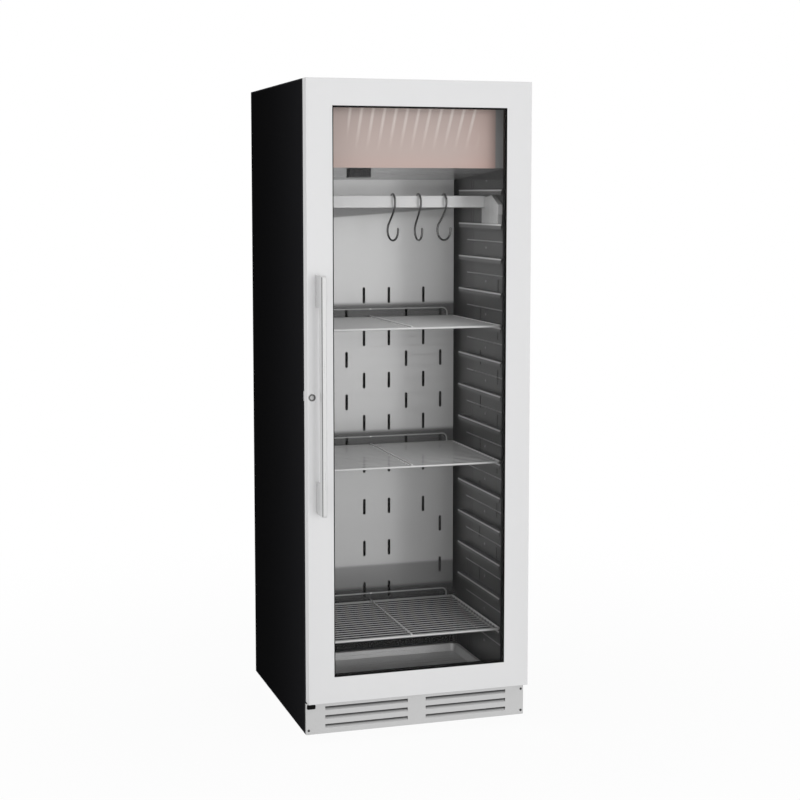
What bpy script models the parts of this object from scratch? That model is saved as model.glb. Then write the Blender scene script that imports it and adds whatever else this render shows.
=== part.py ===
"""Dry aging cabinet with a glazed door: an upright refrigerator that hangs and shelves meat.

Units are metres. +X is to the right of someone who faces the door, +Y to the back and +Z up.
The origin is on the floor, under the middle of the whole cabinet with its handle.
"""

import math

import bmesh
import bpy
from mathutils import Matrix, Vector

# Driving sizes of the whole cabinet
case_width = 0.595
case_height = 1.664
body_depth = 0.634
foot_height = 0.020
handle_reach = 0.062

# Clearance between pieces that touch, how far a cutter runs past what it cuts, and what merges
touch = 0.0003
overrun = 0.004
merge_reach = 0.0000001

# Angle past which the edge of a turned piece stays sharp
turned_smooth_deg = 40.0

# Door and gasket
door_thickness = 0.032
door_rise = 0.088
gasket_gap = 0.010
door_frame_width = 0.067
door_sheet = 0.0012
door_edge_radius = 0.0016
core_inset = 0.0052
core_width = 0.0433
core_tongue = 0.0135
glass_inset = 0.050
glass_thickness = 0.004
spacer_depth = 0.0121
glass_border = 0.004
gasket_inset = 0.017
gasket_width = 0.016
gasket_lip = 0.0025
gasket_head = 0.003
gasket_throat = 0.004
gasket_neck = 0.006
gasket_shoulder = 0.001

# Sheet metal of the case and its inside
case_sheet = 0.001
case_front_return = 0.016
case_rear_return = 0.012
liner_sheet = 0.001
side_wall = 0.035
top_wall = 0.035
floor_rise = 0.085
sill_rise = 0.112
sill_depth = 0.018
floor_foam = 0.028
rear_foam = 0.036
bay_foam = 0.025
bay_height = 0.200
bay_roof_foam = 0.030
base_sheet = 0.0012
base_flange = 0.015
rear_sheet = 0.001

# Perforated duct panel at the back of the inside
duct_setback = 0.470
duct_sheet = 0.0012
duct_side_gap = 0.0125
slot_height = 0.045
slot_width = 0.006
slot_end_steps = 2
slot_first_rise = 0.257
slot_head_room = 0.350
slot_rows = 8
slot_narrow_rows = 2
slot_missing_row = 2
slot_inner_offset = 0.0365
slot_side_margin = 0.0605
slot_shift = 0.021

# Fan housing under the ceiling
housing_setback = 0.078
housing_drop = 0.182
housing_fall = 0.027
housing_sheet = 0.0012
housing_lip = 0.020
housing_side = 0.041
cover_return = 0.006
vent_radius = 0.004
vent_setback = 0.165
vent_shift = -0.015
vent_pitch = 0.015
vent_count = 9
vent_rows = 2
vent_steps = 6
filter_width = 0.057
filter_depth = 0.030
filter_drop = 0.022
filter_inset = 0.106
filter_setback = 0.030
filter_cell_height = 0.011
filter_rim = 0.003
filter_cells = 4
filter_bar = 0.0022
led_bar_depth = 0.012
led_bar_height = 0.010
led_bar_slope = 0.004
led_bar_side_gap = 0.0625

# Circulation fan on its bulkhead
bulkhead_setback = 0.075
fan_radius = 0.062
fan_ring = 0.006
fan_hub_radius = 0.021
fan_hub_length = 0.022
fan_blades = 5
fan_blade_sheet = 0.0016
fan_blade_depth = 0.016
blade_root_deg = 50.0
blade_middle_deg = 38.0
blade_tip_deg = 28.0
blade_chord_share = 0.85
fan_nose_share = 0.3
fan_motor_radius = 0.026
fan_motor_length = 0.030
fan_strut = 0.008
fan_strut_depth = 0.004
fan_shaft_radius = 0.003
fan_shaft_root = 0.0013
fan_steps = 24

# Evaporator in the rear duct, with its drain
evaporator_side_gap = 0.0725
evaporator_depth = 0.055
evaporator_height = 0.240
evaporator_drop = 0.259
evaporator_offset = 0.022
fin_count = 17
fin_share = 0.38
fin_depth_share = 0.30
coil_tube_radius = 0.005
coil_bend_reach = 0.014
coil_bend_root = 0.008
coil_bend_rows = 5
trough_sheet = 0.0012
trough_height = 0.026
trough_margin = 0.006
trough_rest_width = 0.016
trough_rest_depth = 0.008
trough_rest_share = 0.6
drain_radius = 0.008
drain_bore = 0.006
drain_inset = 0.1125

# Side racks with their ledges
rack_standoff = 0.008
rack_sheet = 0.0012
rack_setback = 0.060
rack_depth = 0.308
rack_head_gap = 0.010
ledge_count = 14
ledge_first_rise = 0.221
ledge_head_room = 0.056
ledge_width = 0.017
ledge_height = 0.013
ledge_sheet = 0.0015
ledge_depth = 0.335
ledge_nose = 0.004
rack_slot_front = 0.063
rack_slot_rear = 0.195
rack_slot_front_rise = 0.2946
rack_slot_rear_rise = 0.2155
rack_slot_steps = 1
rib_drop = 0.048
rib_depth = 0.252
rib_height = 0.003
rib_reach = 0.0012
dimple_setback = 0.157
dimple_drop = 0.066
dimple_radius = 0.0045
dimple_crown = 0.002
dimple_steps = 8

# Wire shelves
shelf_setback = 0.070
shelf_rear_gap = 0.008
shelf_side_gap = 0.006
shelf_frame_radius = 0.003
shelf_wire_radius = 0.0015
shelf_middle_radius = 0.0026
shelf_weld = 0.0012
shelf_wire_rise = 0.0007
shelf_middle_inset = 0.0022
wire_sides = 6
shelf_wires = 18
shelf_corner = 0.008
shelf_corner_steps = 3
shelf_stop_height = 0.025
shelf_stop_inset = 0.014
shelf_stop_radius = 0.002
shelf_stop_steps = 3
wire_level = 1
shelf_ledges = {"shelf_bottom": 0, "shelf_middle": 5, "shelf_top": 9}

# Hanging bar, its brackets and the hooks
bar_ledge = 12
bar_setback = 0.200
bar_height = 0.031
bar_depth = 0.015
bar_sheet = 0.0015
bar_end_gap = 0.0045
bar_head_gap = 0.003
bracket_thickness = 0.013
bracket_rear_reach = 0.014
bracket_front_reach = 0.110
bracket_peak_reach = 0.060
bracket_peak_rise = 0.002
bracket_slope = 0.008
bracket_foot_inset = 0.004
bracket_foot_height = 0.024
hook_wire_radius = 0.0025
hook_loop_radius = 0.0225
hook_belly_radius = 0.0265
hook_drop = 0.073
hook_open_deg = 200.0
hook_tip_deg = 370.0
hook_step_deg = 20.0
hook_shank_steps = 6
hook_balance_rounds = 4
hook_places = {"meat_hook_1": -0.014, "meat_hook_2": 0.057, "meat_hook_3": 0.128}
hook_twists_deg = {"meat_hook_1": 14.5, "meat_hook_2": 3.5, "meat_hook_3": 22.5}

# Drip tray
tray_side_gap = 0.0275
tray_depth = 0.325
tray_height = 0.021
tray_setback = 0.064
tray_sheet = 0.001
tray_rim = 0.008
tray_draft = 0.006
tray_corner = 0.024
tray_inner_corner = 0.006
tray_smooth_deg = 30.0
tray_corner_steps = 4

# Louvred kick plate
kick_height = 0.082
kick_sheet = 0.0012
louvre_columns = 2
louvre_rows = 3
louvre_length = 0.222
louvre_height = 0.0095
louvre_pitch = 0.0233
louvre_first_rise = 0.0195
louvre_centre_offset = 0.1355
louvre_reach = 0.008
cap_width = 0.022
cap_height = 0.0115
cap_corner = 0.0028
cap_depth = 0.002
cap_inset = 0.0025
cap_rise = 0.067
screw_radius = 0.0032
screw_crown = 0.0019
screw_head = 0.0016
screw_edge = 0.0006
screw_cross = 0.0016
screw_cross_width = 0.0007
screw_cross_depth = 0.0009
screw_steps = 12
screw_inset = 0.007
screw_low_rise = 0.011
screw_high_rise = 0.069

# Door handle
handle_inset = 0.022
handle_width = 0.012
handle_bar = 0.026
handle_length = 0.600
handle_rise = 0.580
handle_post = 0.080
handle_corner = 0.008
handle_inner_corner = 0.006
handle_edge = 0.0008
handle_smooth_deg = 30.0
handle_bevel_deg = 60.0
corner_steps = 4

# Lock in the door and its keeper on the case
lock_inset = 0.012
lock_rise = 0.874
lock_bezel_radius = 0.0092
lock_body_radius = 0.0072
lock_bezel_height = 0.0018
lock_bezel_edge = 0.0006
lock_plug_radius = 0.0052
lock_plug_setback = 0.0006
lock_shank_radius = 0.0035
lock_steps = 20
cam_setback = 0.0025
cam_thickness = 0.0025
cam_half_width = 0.003
cam_length = 0.0095
key_slot_width = 0.0012
key_slot_height = 0.006
key_slot_depth = 0.002
keeper_sheet = 0.0012
keeper_width = 0.006
keeper_height = 0.024
keeper_inset = 0.0005
keeper_gap = 0.0008
lock_pocket = 0.001

# Door hinges
pin_inset = 0.012
pin_setback = 0.016
pin_radius = 0.004
pin_length = 0.012
pin_steps = 16
pin_clearance = 0.00035
hinge_plate = 0.003
hinge_gap = 0.001
hinge_half_width = 0.0085
hinge_flange_length = 0.057
hinge_flange_height = 0.0145
hinge_notch_gap = 0.0014
hinge_edge_inset = 0.003
bush_length = 0.018
bush_width = 0.0205
bush_depth = 0.028
hinge_notch = 0.0046
bush_gap = 0.0004

# Levelling feet and their bosses
foot_radius = 0.019
foot_pad = 0.008
foot_edge = 0.002
foot_stem_radius = 0.005
foot_stem_length = 0.012
foot_boss_radius = 0.009
foot_boss_height = 0.010
foot_inset = 0.048
foot_front_setback = 0.130
foot_rear_inset = 0.045
foot_steps = 16

# Compressor bay behind the inside
compressor_radius = 0.058
compressor_height = 0.118
compressor_inset = 0.1475
compressor_leg = 0.012
compressor_band = 0.003
compressor_band_height = 0.006
compressor_dome = 0.022
compressor_dome_steps = 3
compressor_plate = 0.003
compressor_plate_margin = 0.004
compressor_pad_radius = 0.009
compressor_relay_width = 0.016
compressor_relay_height = 0.040
compressor_relay_depth = 0.036
compressor_steps = 22
bay_clearance = 0.004
condenser_inset = 0.0925
condenser_width = 0.050
condenser_depth = 0.118
condenser_height = 0.165
condenser_rise = 0.008
condenser_fins = 16
cooling_fan_gap = 0.006
cooling_fan_sheet = 0.0015
cooling_fan_radius = 0.046
cooling_hub_radius = 0.016
cooling_boss_radius = 0.009
condensate_width = 0.150
condensate_depth = 0.100
condensate_height = 0.016
condensate_dip = 0.006
condensate_corner = 0.010
condensate_wall = 0.002
pipe_radius = 0.003
pipe_lift = 0.030
pipe_reach = 0.030
pipe_crest = 0.014
pipe_bend = 0.010
pipe_bend_steps = 4
grille_columns = 3
grille_rows = 7
grille_slot_length = 0.150
grille_slot_height = 0.007
grille_slot_corner = 0.0023
grille_slot_pitch = 0.022
grille_first_rise = 0.034
grille_column_pitch = 0.178
grille_shift = 0.012
inlet_width = 0.031
inlet_height = 0.024
inlet_depth = 0.030
inlet_recess = 0.018
inlet_wall = 0.003
inlet_inset = 0.0625
inlet_rise = 0.012
inlet_flange = 0.003
inlet_flange_sheet = 0.0009
inlet_pin_width = 0.002
inlet_pin_height = 0.004
inlet_pin_spread = 0.007
inlet_pins_share = ((-1, 0), (1, 0), (0, 0.5))
inlet_corner_steps = 2

# Planes and levels that several pieces share
overall_depth = body_depth + handle_reach
left = -case_width / 2
right = case_width / 2
front = handle_reach - overall_depth / 2
back = front + body_depth
base = foot_height
top = base + case_height
door_back = front + door_thickness
case_front = door_back + gasket_gap
door_bottom = base + door_rise
inner_left = left + side_wall
inner_right = right - side_wall
inner_floor = base + floor_rise
inner_sill = base + sill_rise
inner_ceiling = top - top_wall
sill_back = case_front + sill_depth
duct_front = front + duct_setback
duct_back = duct_front + duct_sheet
bay_wall = duct_back + touch
bay_roof = base + bay_height
inner_step = bay_roof + bay_roof_foam + 2 * liner_sheet
rear_plate_front = back - case_sheet - touch - rear_sheet
foam_back = rear_plate_front - touch
inner_back = foam_back - rear_foam - liner_sheet
foam_front = case_front + max(case_sheet, liner_sheet) + touch
foam_bottom = inner_floor - liner_sheet - touch - floor_foam
bay_front = bay_wall + liner_sheet + touch + bay_foam
housing_front = front + housing_setback
housing_bottom = inner_ceiling - housing_drop
duct_half = inner_right - duct_side_gap
slot_row_pitch = (housing_bottom - slot_head_room - base - slot_first_rise) / (slot_rows - 1)
slot_column_pitch = (duct_half - slot_side_margin - slot_inner_offset) / 3
ledge_pitch = (housing_bottom - ledge_head_room - base - ledge_first_rise) / (ledge_count - 1)
evaporator_bottom = inner_ceiling - evaporator_drop - evaporator_height
evaporator_half = inner_right - evaporator_side_gap
compressor_x = right - compressor_inset
condenser_x = left + condenser_inset
rack_face = inner_right - rack_standoff
rack_front = front + rack_setback
ledge_edge = rack_face - ledge_width
bar_centre = front + bar_setback
base_top = base + base_sheet


def ledge_top(level):
    """Height of the bearing face of one ledge of the racks, counted from the lowest."""
    return base + ledge_first_rise + level * ledge_pitch


def housing_underside(depth):
    """Height of the fan housing's sloping underside at a place along Y."""
    run = duct_front - housing_front
    return housing_bottom - housing_fall * (depth - housing_front) / run


# Materials

def finish(name, colour, roughness, metallic, alpha=1.0):
    """A Principled material in linear colour."""
    made = bpy.data.materials.new(name)
    made.use_nodes = True
    shader = made.node_tree.nodes["Principled BSDF"]
    shader.inputs["Base Color"].default_value = (*colour, 1.0)
    shader.inputs["Roughness"].default_value = roughness
    shader.inputs["Metallic"].default_value = metallic
    shader.inputs["Alpha"].default_value = alpha
    return made


def make_finishes():
    """All the finishes that the cabinet shows, by name."""
    return {
        "black_paint": finish("black_paint", (0.012, 0.012, 0.013), 0.45, 0.0),
        "door_steel": finish("door_steel", (0.74, 0.74, 0.74), 0.34, 0.6),
        "kick_steel": finish("kick_steel", (0.54, 0.54, 0.54), 0.36, 0.6),
        "bright_steel": finish("bright_steel", (0.66, 0.66, 0.67), 0.22, 1.0),
        "chrome": finish("chrome", (0.75, 0.75, 0.76), 0.12, 1.0),
        "satin_steel": finish("satin_steel", (0.45, 0.45, 0.46), 0.32, 1.0),
        "copper_steel": finish("copper_steel", (0.52, 0.40, 0.35), 0.38, 0.8),
        "zinc": finish("zinc", (0.45, 0.46, 0.47), 0.42, 0.9),
        "glass": finish("glass", (0.95, 0.97, 0.97), 0.03, 0.0, 0.15),
        "black_plastic": finish("black_plastic", (0.015, 0.015, 0.015), 0.5, 0.0),
        "grey_plastic": finish("grey_plastic", (0.20, 0.20, 0.21), 0.5, 0.0),
        "rubber": finish("rubber", (0.02, 0.02, 0.02), 0.75, 0.0),
        "foam": finish("foam", (0.72, 0.62, 0.36), 0.9, 0.0),
        "fin_metal": finish("fin_metal", (0.62, 0.63, 0.64), 0.35, 0.9),
        "copper": finish("copper", (0.62, 0.29, 0.16), 0.3, 1.0),
        "diffuser": finish("diffuser", (0.9, 0.9, 0.88), 0.4, 0.0),
    }


# Shapes

def link(name, mesh, material):
    """An object for a mesh, in the scene."""
    made = bpy.data.objects.new(name, mesh)
    bpy.context.scene.collection.objects.link(made)
    if material is not None:
        mesh.materials.append(material)
    return made


def finished(name, shape, material, smooth_deg=None):
    """An object from a closed bmesh, with its faces turned outwards."""
    bmesh.ops.recalc_face_normals(shape, faces=shape.faces)
    mesh = bpy.data.meshes.new(name)
    shape.to_mesh(mesh)
    shape.free()
    if smooth_deg is not None:
        mesh.shade_smooth()
        mesh.set_sharp_from_angle(angle=math.radians(smooth_deg))
    return link(name, mesh, material)


def add_prism(shape, outline, axis, start, end):
    """An outline drawn across an axis and carried along it from start to end."""
    def place(a, b, along):
        return {"X": (along, a, b), "Y": (a, along, b), "Z": (a, b, along)}[axis]

    near = [shape.verts.new(place(a, b, start)) for a, b in outline]
    far = [shape.verts.new(place(a, b, end)) for a, b in outline]
    shape.faces.new(near)
    shape.faces.new(far)
    for i, point in enumerate(near):
        shape.faces.new((near[i - 1], point, far[i], far[i - 1]))


def add_box(shape, low, high):
    """A block between two opposite corners."""
    outline = [(low[0], low[1]), (high[0], low[1]), (high[0], high[1]), (low[0], high[1])]
    add_prism(shape, outline, "Z", low[2], high[2])


def add_loops(shape, loops):
    """A skin over closed loops of equal length, with its first and last loop capped."""
    rings = [[shape.verts.new(point) for point in loop] for loop in loops]
    shape.faces.new(rings[0])
    shape.faces.new(rings[-1])
    for ring, following in zip(rings, rings[1:]):
        for i, point in enumerate(ring):
            shape.faces.new((ring[i - 1], point, following[i], following[i - 1]))


def add_swept_frame(shape, corners, profile, closed=True):
    """A profile of (inset, y) points carried round corners(inset), with mitred corners."""
    rows = []
    for inset, depth in profile:
        rows.append([shape.verts.new((x, depth, z)) for x, z in corners(inset)])
    count = len(rows[0])
    for i, row in enumerate(rows):
        before = rows[i - 1]
        for j in range(0 if closed else 1, count):
            shape.faces.new((before[j - 1], before[j], row[j], row[j - 1]))
    if not closed:
        shape.faces.new([row[0] for row in rows])
        shape.faces.new([row[-1] for row in rows])


def rectangle(low_x, low_z, high_x, high_z):
    """The four corners of an upright rectangle, drawn in by an inset."""
    def corners(inset):
        return [
            (low_x + inset, low_z + inset),
            (high_x - inset, low_z + inset),
            (high_x - inset, high_z - inset),
            (low_x + inset, high_z - inset),
        ]

    return corners


def add_turned(shape, profile, centre, axis, steps, ring=False):
    """A profile of (radius, height) points turned about an axis that runs through centre."""
    turned = bmesh.new()
    points = [turned.verts.new((radius, 0, height)) for radius, height in profile]
    pairs = list(zip(points, points[1:]))
    if ring:
        pairs.append((points[-1], points[0]))
    edges = [turned.edges.new(pair) for pair in pairs]
    bmesh.ops.spin(turned, geom=points + edges, cent=(0, 0, 0), axis=(0, 0, 1),
                   angle=2 * math.pi, steps=steps, use_merge=True)
    bmesh.ops.remove_doubles(turned, verts=turned.verts, dist=merge_reach)
    turn = {"X": Matrix.Rotation(math.pi / 2, 4, "Y"),
            "Y": Matrix.Rotation(-math.pi / 2, 4, "X"),
            "Z": Matrix.Identity(4)}[axis]
    turned.transform(Matrix.Translation(centre) @ turn)
    mesh = bpy.data.meshes.new("turned")
    turned.to_mesh(mesh)
    turned.free()
    shape.from_mesh(mesh)
    bpy.data.meshes.remove(mesh)


def add_rod(shape, start, end, radius, sides):
    """A straight round rod between two points."""
    start, end = Vector(start), Vector(end)
    along = end - start
    place = Matrix.Translation((start + end) / 2) @ along.to_track_quat("Z", "X").to_matrix().to_4x4()
    bmesh.ops.create_cone(shape, cap_ends=True, segments=sides, radius1=radius, radius2=radius,
                          depth=along.length, matrix=place)


def arc(centre, radius, first_deg, last_deg, steps):
    """Points on an arc, both ends included."""
    angles = [math.radians(first_deg + (last_deg - first_deg) * i / steps) for i in range(steps + 1)]
    return [(centre[0] + radius * math.cos(a), centre[1] + radius * math.sin(a)) for a in angles]


def rounded_rectangle(low, high, radius, steps):
    """The outline of a rectangle with round corners, in two coordinates."""
    (x0, y0), (x1, y1) = low, high
    return (arc((x1 - radius, y0 + radius), radius, -90, 0, steps)
            + arc((x1 - radius, y1 - radius), radius, 0, 90, steps)
            + arc((x0 + radius, y1 - radius), radius, 90, 180, steps)
            + arc((x0 + radius, y0 + radius), radius, 180, 270, steps))


def wire_mesh(name, points, radius, sides_level, cyclic=False):
    """A mesh of a round wire that follows the points."""
    curve = bpy.data.curves.new(name, "CURVE")
    curve.dimensions = "3D"
    curve.bevel_depth = radius
    curve.bevel_resolution = sides_level
    curve.use_fill_caps = not cyclic
    spline = curve.splines.new("POLY")
    spline.points.add(len(points) - 1)
    for target, point in zip(spline.points, points):
        target.co = (*point, 1.0)
    spline.use_cyclic_u = cyclic
    guide = bpy.data.objects.new(name, curve)
    bpy.context.scene.collection.objects.link(guide)
    bpy.context.view_layer.update()
    mesh = bpy.data.meshes.new_from_object(guide.evaluated_get(bpy.context.evaluated_depsgraph_get()))
    bpy.data.objects.remove(guide)
    merged = bmesh.new()
    merged.from_mesh(mesh)
    bmesh.ops.remove_doubles(merged, verts=merged.verts, dist=merge_reach)
    bmesh.ops.recalc_face_normals(merged, faces=merged.faces)
    merged.to_mesh(mesh)
    merged.free()
    return mesh


def tool(name, shape):
    """A hidden shape that another object's Boolean takes away or adds."""
    made = finished(name, shape, None)
    made.hide_render = True
    made.display_type = "WIRE"
    return made


def combine(target, operand, operation):
    """A Boolean of the target with a hidden shape."""
    modifier = target.modifiers.new(operand.name, "BOOLEAN")
    modifier.operation = operation
    modifier.solver = "EXACT"
    modifier.object = operand
    return target


def cut(target, name, shape):
    """Take a shape away from the target."""
    return combine(target, tool(name, shape), "DIFFERENCE")


def weld(target, name, shape):
    """Add a shape to the target as one solid."""
    return combine(target, tool(name, shape), "UNION")


def set_origin(target, point):
    """Move an object's origin to a point of its joint's axis, leaving its shape in place."""
    target.data.transform(Matrix.Translation(-Vector(point)))
    target.location = point


def axis_empty(name, point):
    """An empty on a joint's axis, the parent of what turns there."""
    made = bpy.data.objects.new(name, None)
    made.location = point
    bpy.context.scene.collection.objects.link(made)
    bpy.context.view_layer.update()
    return made


def carry(parent, *children):
    """Parent objects to an empty without moving them."""
    for child in children:
        child.parent = parent
        child.matrix_parent_inverse = parent.matrix_world.inverted()


# Case

def make_outer_case(looks):
    """Both sides and the top, folded from one painted sheet with returns at front and back."""
    def corners(inset):
        return [(left + inset, base), (left + inset, top - inset),
                (right - inset, top - inset), (right - inset, base)]

    profile = [
        (0, case_front), (case_front_return, case_front),
        (case_front_return, case_front + case_sheet), (case_sheet, case_front + case_sheet),
        (case_sheet, back - case_sheet), (case_rear_return, back - case_sheet),
        (case_rear_return, back), (0, back),
    ]
    shape = bmesh.new()
    add_swept_frame(shape, corners, profile, closed=False)
    return finished("outer_case", shape, looks["black_paint"])


def make_rear_panel(looks):
    """The sheet that closes the foam at the back, above the compressor bay."""
    shape = bmesh.new()
    side = case_sheet + touch
    add_box(shape, (left + side, rear_plate_front, bay_roof),
            (right - side, rear_plate_front + rear_sheet, top - side))
    return finished("rear_panel", shape, looks["zinc"])


def foot_places():
    """Where the four levelling feet stand."""
    across = case_width / 2 - foot_inset
    near, far = front + foot_front_setback, back - foot_rear_inset
    return {"foot_front_left": (-across, near), "foot_front_right": (across, near),
            "foot_rear_left": (-across, far), "foot_rear_right": (across, far)}


def make_base_pan(looks):
    """The bottom sheet between the case sides, with a threaded boss over each foot."""
    side = case_sheet + touch
    low, high = left + side, right - side
    outline = [
        (low, base), (high, base), (high, base + base_flange),
        (high - base_sheet, base + base_flange), (high - base_sheet, base_top),
        (low + base_sheet, base_top), (low + base_sheet, base + base_flange),
        (low, base + base_flange),
    ]
    shape = bmesh.new()
    add_prism(shape, outline, "Y", case_front + side, rear_plate_front - touch)
    pan = finished("base_pan", shape, looks["zinc"])
    bosses, holes = bmesh.new(), bmesh.new()
    for x, y in foot_places().values():
        add_rod(bosses, (x, y, base + base_sheet / 2), (x, y, base_top + foot_boss_height),
                foot_boss_radius, foot_steps)
        add_rod(holes, (x, y, base - overrun), (x, y, base_top + foot_boss_height + overrun),
                foot_stem_radius + touch, foot_steps)
    weld(pan, "base_bosses", bosses)
    return cut(pan, "base_boss_holes", holes)


def liner_outline(grow):
    """The inside of the cabinet in the YZ plane, grown by a thickness, open to the front."""
    return [
        (case_front - overrun, inner_sill - grow), (sill_back - grow, inner_sill - grow),
        (sill_back - grow, inner_floor - grow), (bay_wall + grow, inner_floor - grow),
        (bay_wall + grow, inner_step - grow), (inner_back + grow, inner_step - grow),
        (inner_back + grow, inner_ceiling + grow), (case_front - overrun, inner_ceiling + grow),
    ]


def drain_place():
    """Where the drain pipe comes down at the back of the duct."""
    return inner_right - drain_inset, (evaporator_front() + inner_back) / 2


def make_foam(looks):
    """The insulation that fills the space between the case and the liner."""
    side = case_sheet + touch
    outline = [
        (foam_front, foam_bottom), (bay_front, foam_bottom), (bay_front, bay_roof),
        (foam_back, bay_roof), (foam_back, top - side), (foam_front, top - side),
    ]
    shape = bmesh.new()
    add_prism(shape, outline, "X", left + side, right - side)
    foam = finished("foam_insulation", shape, looks["foam"])
    grow = liner_sheet + touch
    inside = bmesh.new()
    add_prism(inside, liner_outline(grow), "X", inner_left - grow, inner_right + grow)
    cut(foam, "foam_inside", inside)
    x, y = drain_place()
    hole = bmesh.new()
    add_rod(hole, (x, y, bay_roof - overrun), (x, y, inner_step + overrun),
            drain_radius + touch, pin_steps)
    return cut(foam, "foam_drain_hole", hole)


def make_liner(looks):
    """The stainless inner box, with the front flange that the gasket seals on."""
    flange_side = case_front_return + touch
    shape = bmesh.new()
    add_box(shape, (left + flange_side, case_front, base + kick_height + touch),
            (right - flange_side, case_front + liner_sheet, top - flange_side))
    liner = finished("inner_liner", shape, looks["satin_steel"])
    outside = [(max(y, case_front), z) for y, z in liner_outline(liner_sheet)]
    body = bmesh.new()
    add_prism(body, outside, "X", inner_left - liner_sheet, inner_right + liner_sheet)
    weld(liner, "liner_body", body)
    inside = bmesh.new()
    add_prism(inside, liner_outline(0), "X", inner_left, inner_right)
    cut(liner, "liner_inside", inside)
    x, y = drain_place()
    hole = bmesh.new()
    add_rod(hole, (x, y, inner_step - overrun), (x, y, inner_step + overrun),
            drain_radius + touch, pin_steps)
    return cut(liner, "liner_drain_hole", hole)


# Rear duct and fan housing

def slot_outline(x, z, width, height, steps):
    """An upright slot with round ends, in the XZ plane."""
    radius, reach = width / 2, (height - width) / 2
    return arc((x, z + reach), radius, 0, 180, steps) + arc((x, z - reach), radius, 180, 360, steps)


def slot_places():
    """The staggered pattern of slots in the duct panel, as (x, z)."""
    places = []
    for half_row in range(2 * slot_rows - 1):
        row, between = divmod(half_row, 2)
        if between and row == slot_missing_row:
            continue
        narrow = row < slot_narrow_rows
        if between:
            columns = (3,) if narrow else (1, 3)
        else:
            columns = (0,) if narrow else (0, 2)
        z = base + slot_first_rise + half_row * slot_row_pitch / 2
        for column in columns:
            offset = slot_inner_offset + column * slot_column_pitch
            places += [(slot_shift + side * offset, z) for side in (-1, 1)]
    return places


def make_duct_panel(looks):
    """The slotted stainless panel at the back of the inside, in front of the air duct."""
    shape = bmesh.new()
    add_box(shape, (-duct_half, duct_front, inner_floor + touch),
            (duct_half, duct_back, housing_underside(duct_front) - touch))
    panel = finished("duct_panel", shape, looks["bright_steel"])
    slots = bmesh.new()
    for x, z in slot_places():
        add_prism(slots, slot_outline(x, z, slot_width, slot_height, slot_end_steps), "Y",
                  duct_front - overrun, duct_back + overrun)
    return cut(panel, "duct_slots", slots)


def make_housing_pan(looks):
    """The sloping underside of the fan housing, with its front lip and side strips."""
    low, high = inner_left + touch, inner_right - touch
    rear = duct_back
    outline = [
        (housing_front, housing_bottom), (rear, housing_underside(rear)),
        (rear, housing_underside(rear) + housing_sheet),
        (housing_front, housing_bottom + housing_sheet),
    ]
    shape = bmesh.new()
    add_prism(shape, outline, "X", low, high)
    pan = finished("housing_pan", shape, looks["satin_steel"])
    ceiling = inner_ceiling - touch
    lip = bmesh.new()
    front_outline = [
        (low, housing_bottom), (high, housing_bottom), (high, ceiling),
        (high - housing_side, ceiling), (high - housing_side, housing_bottom + housing_lip),
        (low + housing_side, housing_bottom + housing_lip), (low + housing_side, ceiling),
        (low, ceiling),
    ]
    add_prism(lip, front_outline, "Y", housing_front, housing_front + housing_sheet)
    weld(pan, "housing_lip", lip)
    vents = bmesh.new()
    for row in range(vent_rows):
        y = housing_front + vent_setback + row * vent_pitch
        level = housing_underside(y)
        for column in range(vent_count):
            x = vent_shift + vent_pitch * (column - (vent_count - 1) / 2)
            add_rod(vents, (x, y, level - overrun), (x, y, level + overrun), vent_radius, vent_steps)
    return cut(pan, "housing_vents", vents)


def make_housing_cover(looks):
    """The copper-tinted front cover of the fan housing, with a return along its top."""
    low = inner_left + touch + housing_side - cover_return
    depth = housing_front - touch
    outline = [
        (depth - housing_sheet, housing_bottom - housing_sheet), (depth, housing_bottom - housing_sheet),
        (depth, inner_ceiling - touch), (depth - led_bar_slope, inner_ceiling - touch),
        (depth - led_bar_slope, inner_ceiling - touch - housing_sheet),
        (depth - housing_sheet, inner_ceiling - touch - housing_sheet),
    ]
    shape = bmesh.new()
    add_prism(shape, outline, "X", low, -low)
    return finished("housing_cover", shape, looks["copper_steel"])


def make_led_bar(looks):
    """The lamp bar under the ceiling, which washes the cover below it."""
    rear = housing_front - led_bar_slope - 2 * touch
    high = inner_ceiling - touch
    outline = [
        (rear, high), (rear, high - led_bar_height), (rear - led_bar_slope, high - led_bar_height),
        (rear - led_bar_depth, high - led_bar_slope), (rear - led_bar_depth, high),
    ]
    shape = bmesh.new()
    reach = inner_right - led_bar_side_gap
    add_prism(shape, outline, "X", -reach, reach)
    return finished("led_bar", shape, looks["diffuser"])


def make_filter(looks):
    """The black mesh cassette of the air filter, hung under the housing."""
    y0 = housing_front + filter_setback
    y1 = y0 + filter_depth
    x0 = inner_left + filter_inset
    x1 = x0 + filter_width
    outline = [(y0, housing_underside(y0) - touch), (y0, housing_underside(y0) - filter_drop),
               (y1, housing_underside(y1) - filter_drop), (y1, housing_underside(y1) - touch)]
    shape = bmesh.new()
    add_prism(shape, outline, "X", x0, x1)
    cassette = finished("filter_cassette", shape, looks["black_plastic"])
    cells = bmesh.new()
    pitch = (filter_width - filter_rim) / filter_cells
    level = housing_underside(y0) - filter_drop / 2
    for i in range(filter_cells):
        cell = x0 + filter_rim + i * pitch
        add_box(cells, (cell, y0 - overrun, level - filter_cell_height / 2),
                (cell + pitch - filter_bar, y0 + filter_rim, level + filter_cell_height / 2))
    return cut(cassette, "filter_cells", cells)


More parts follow.
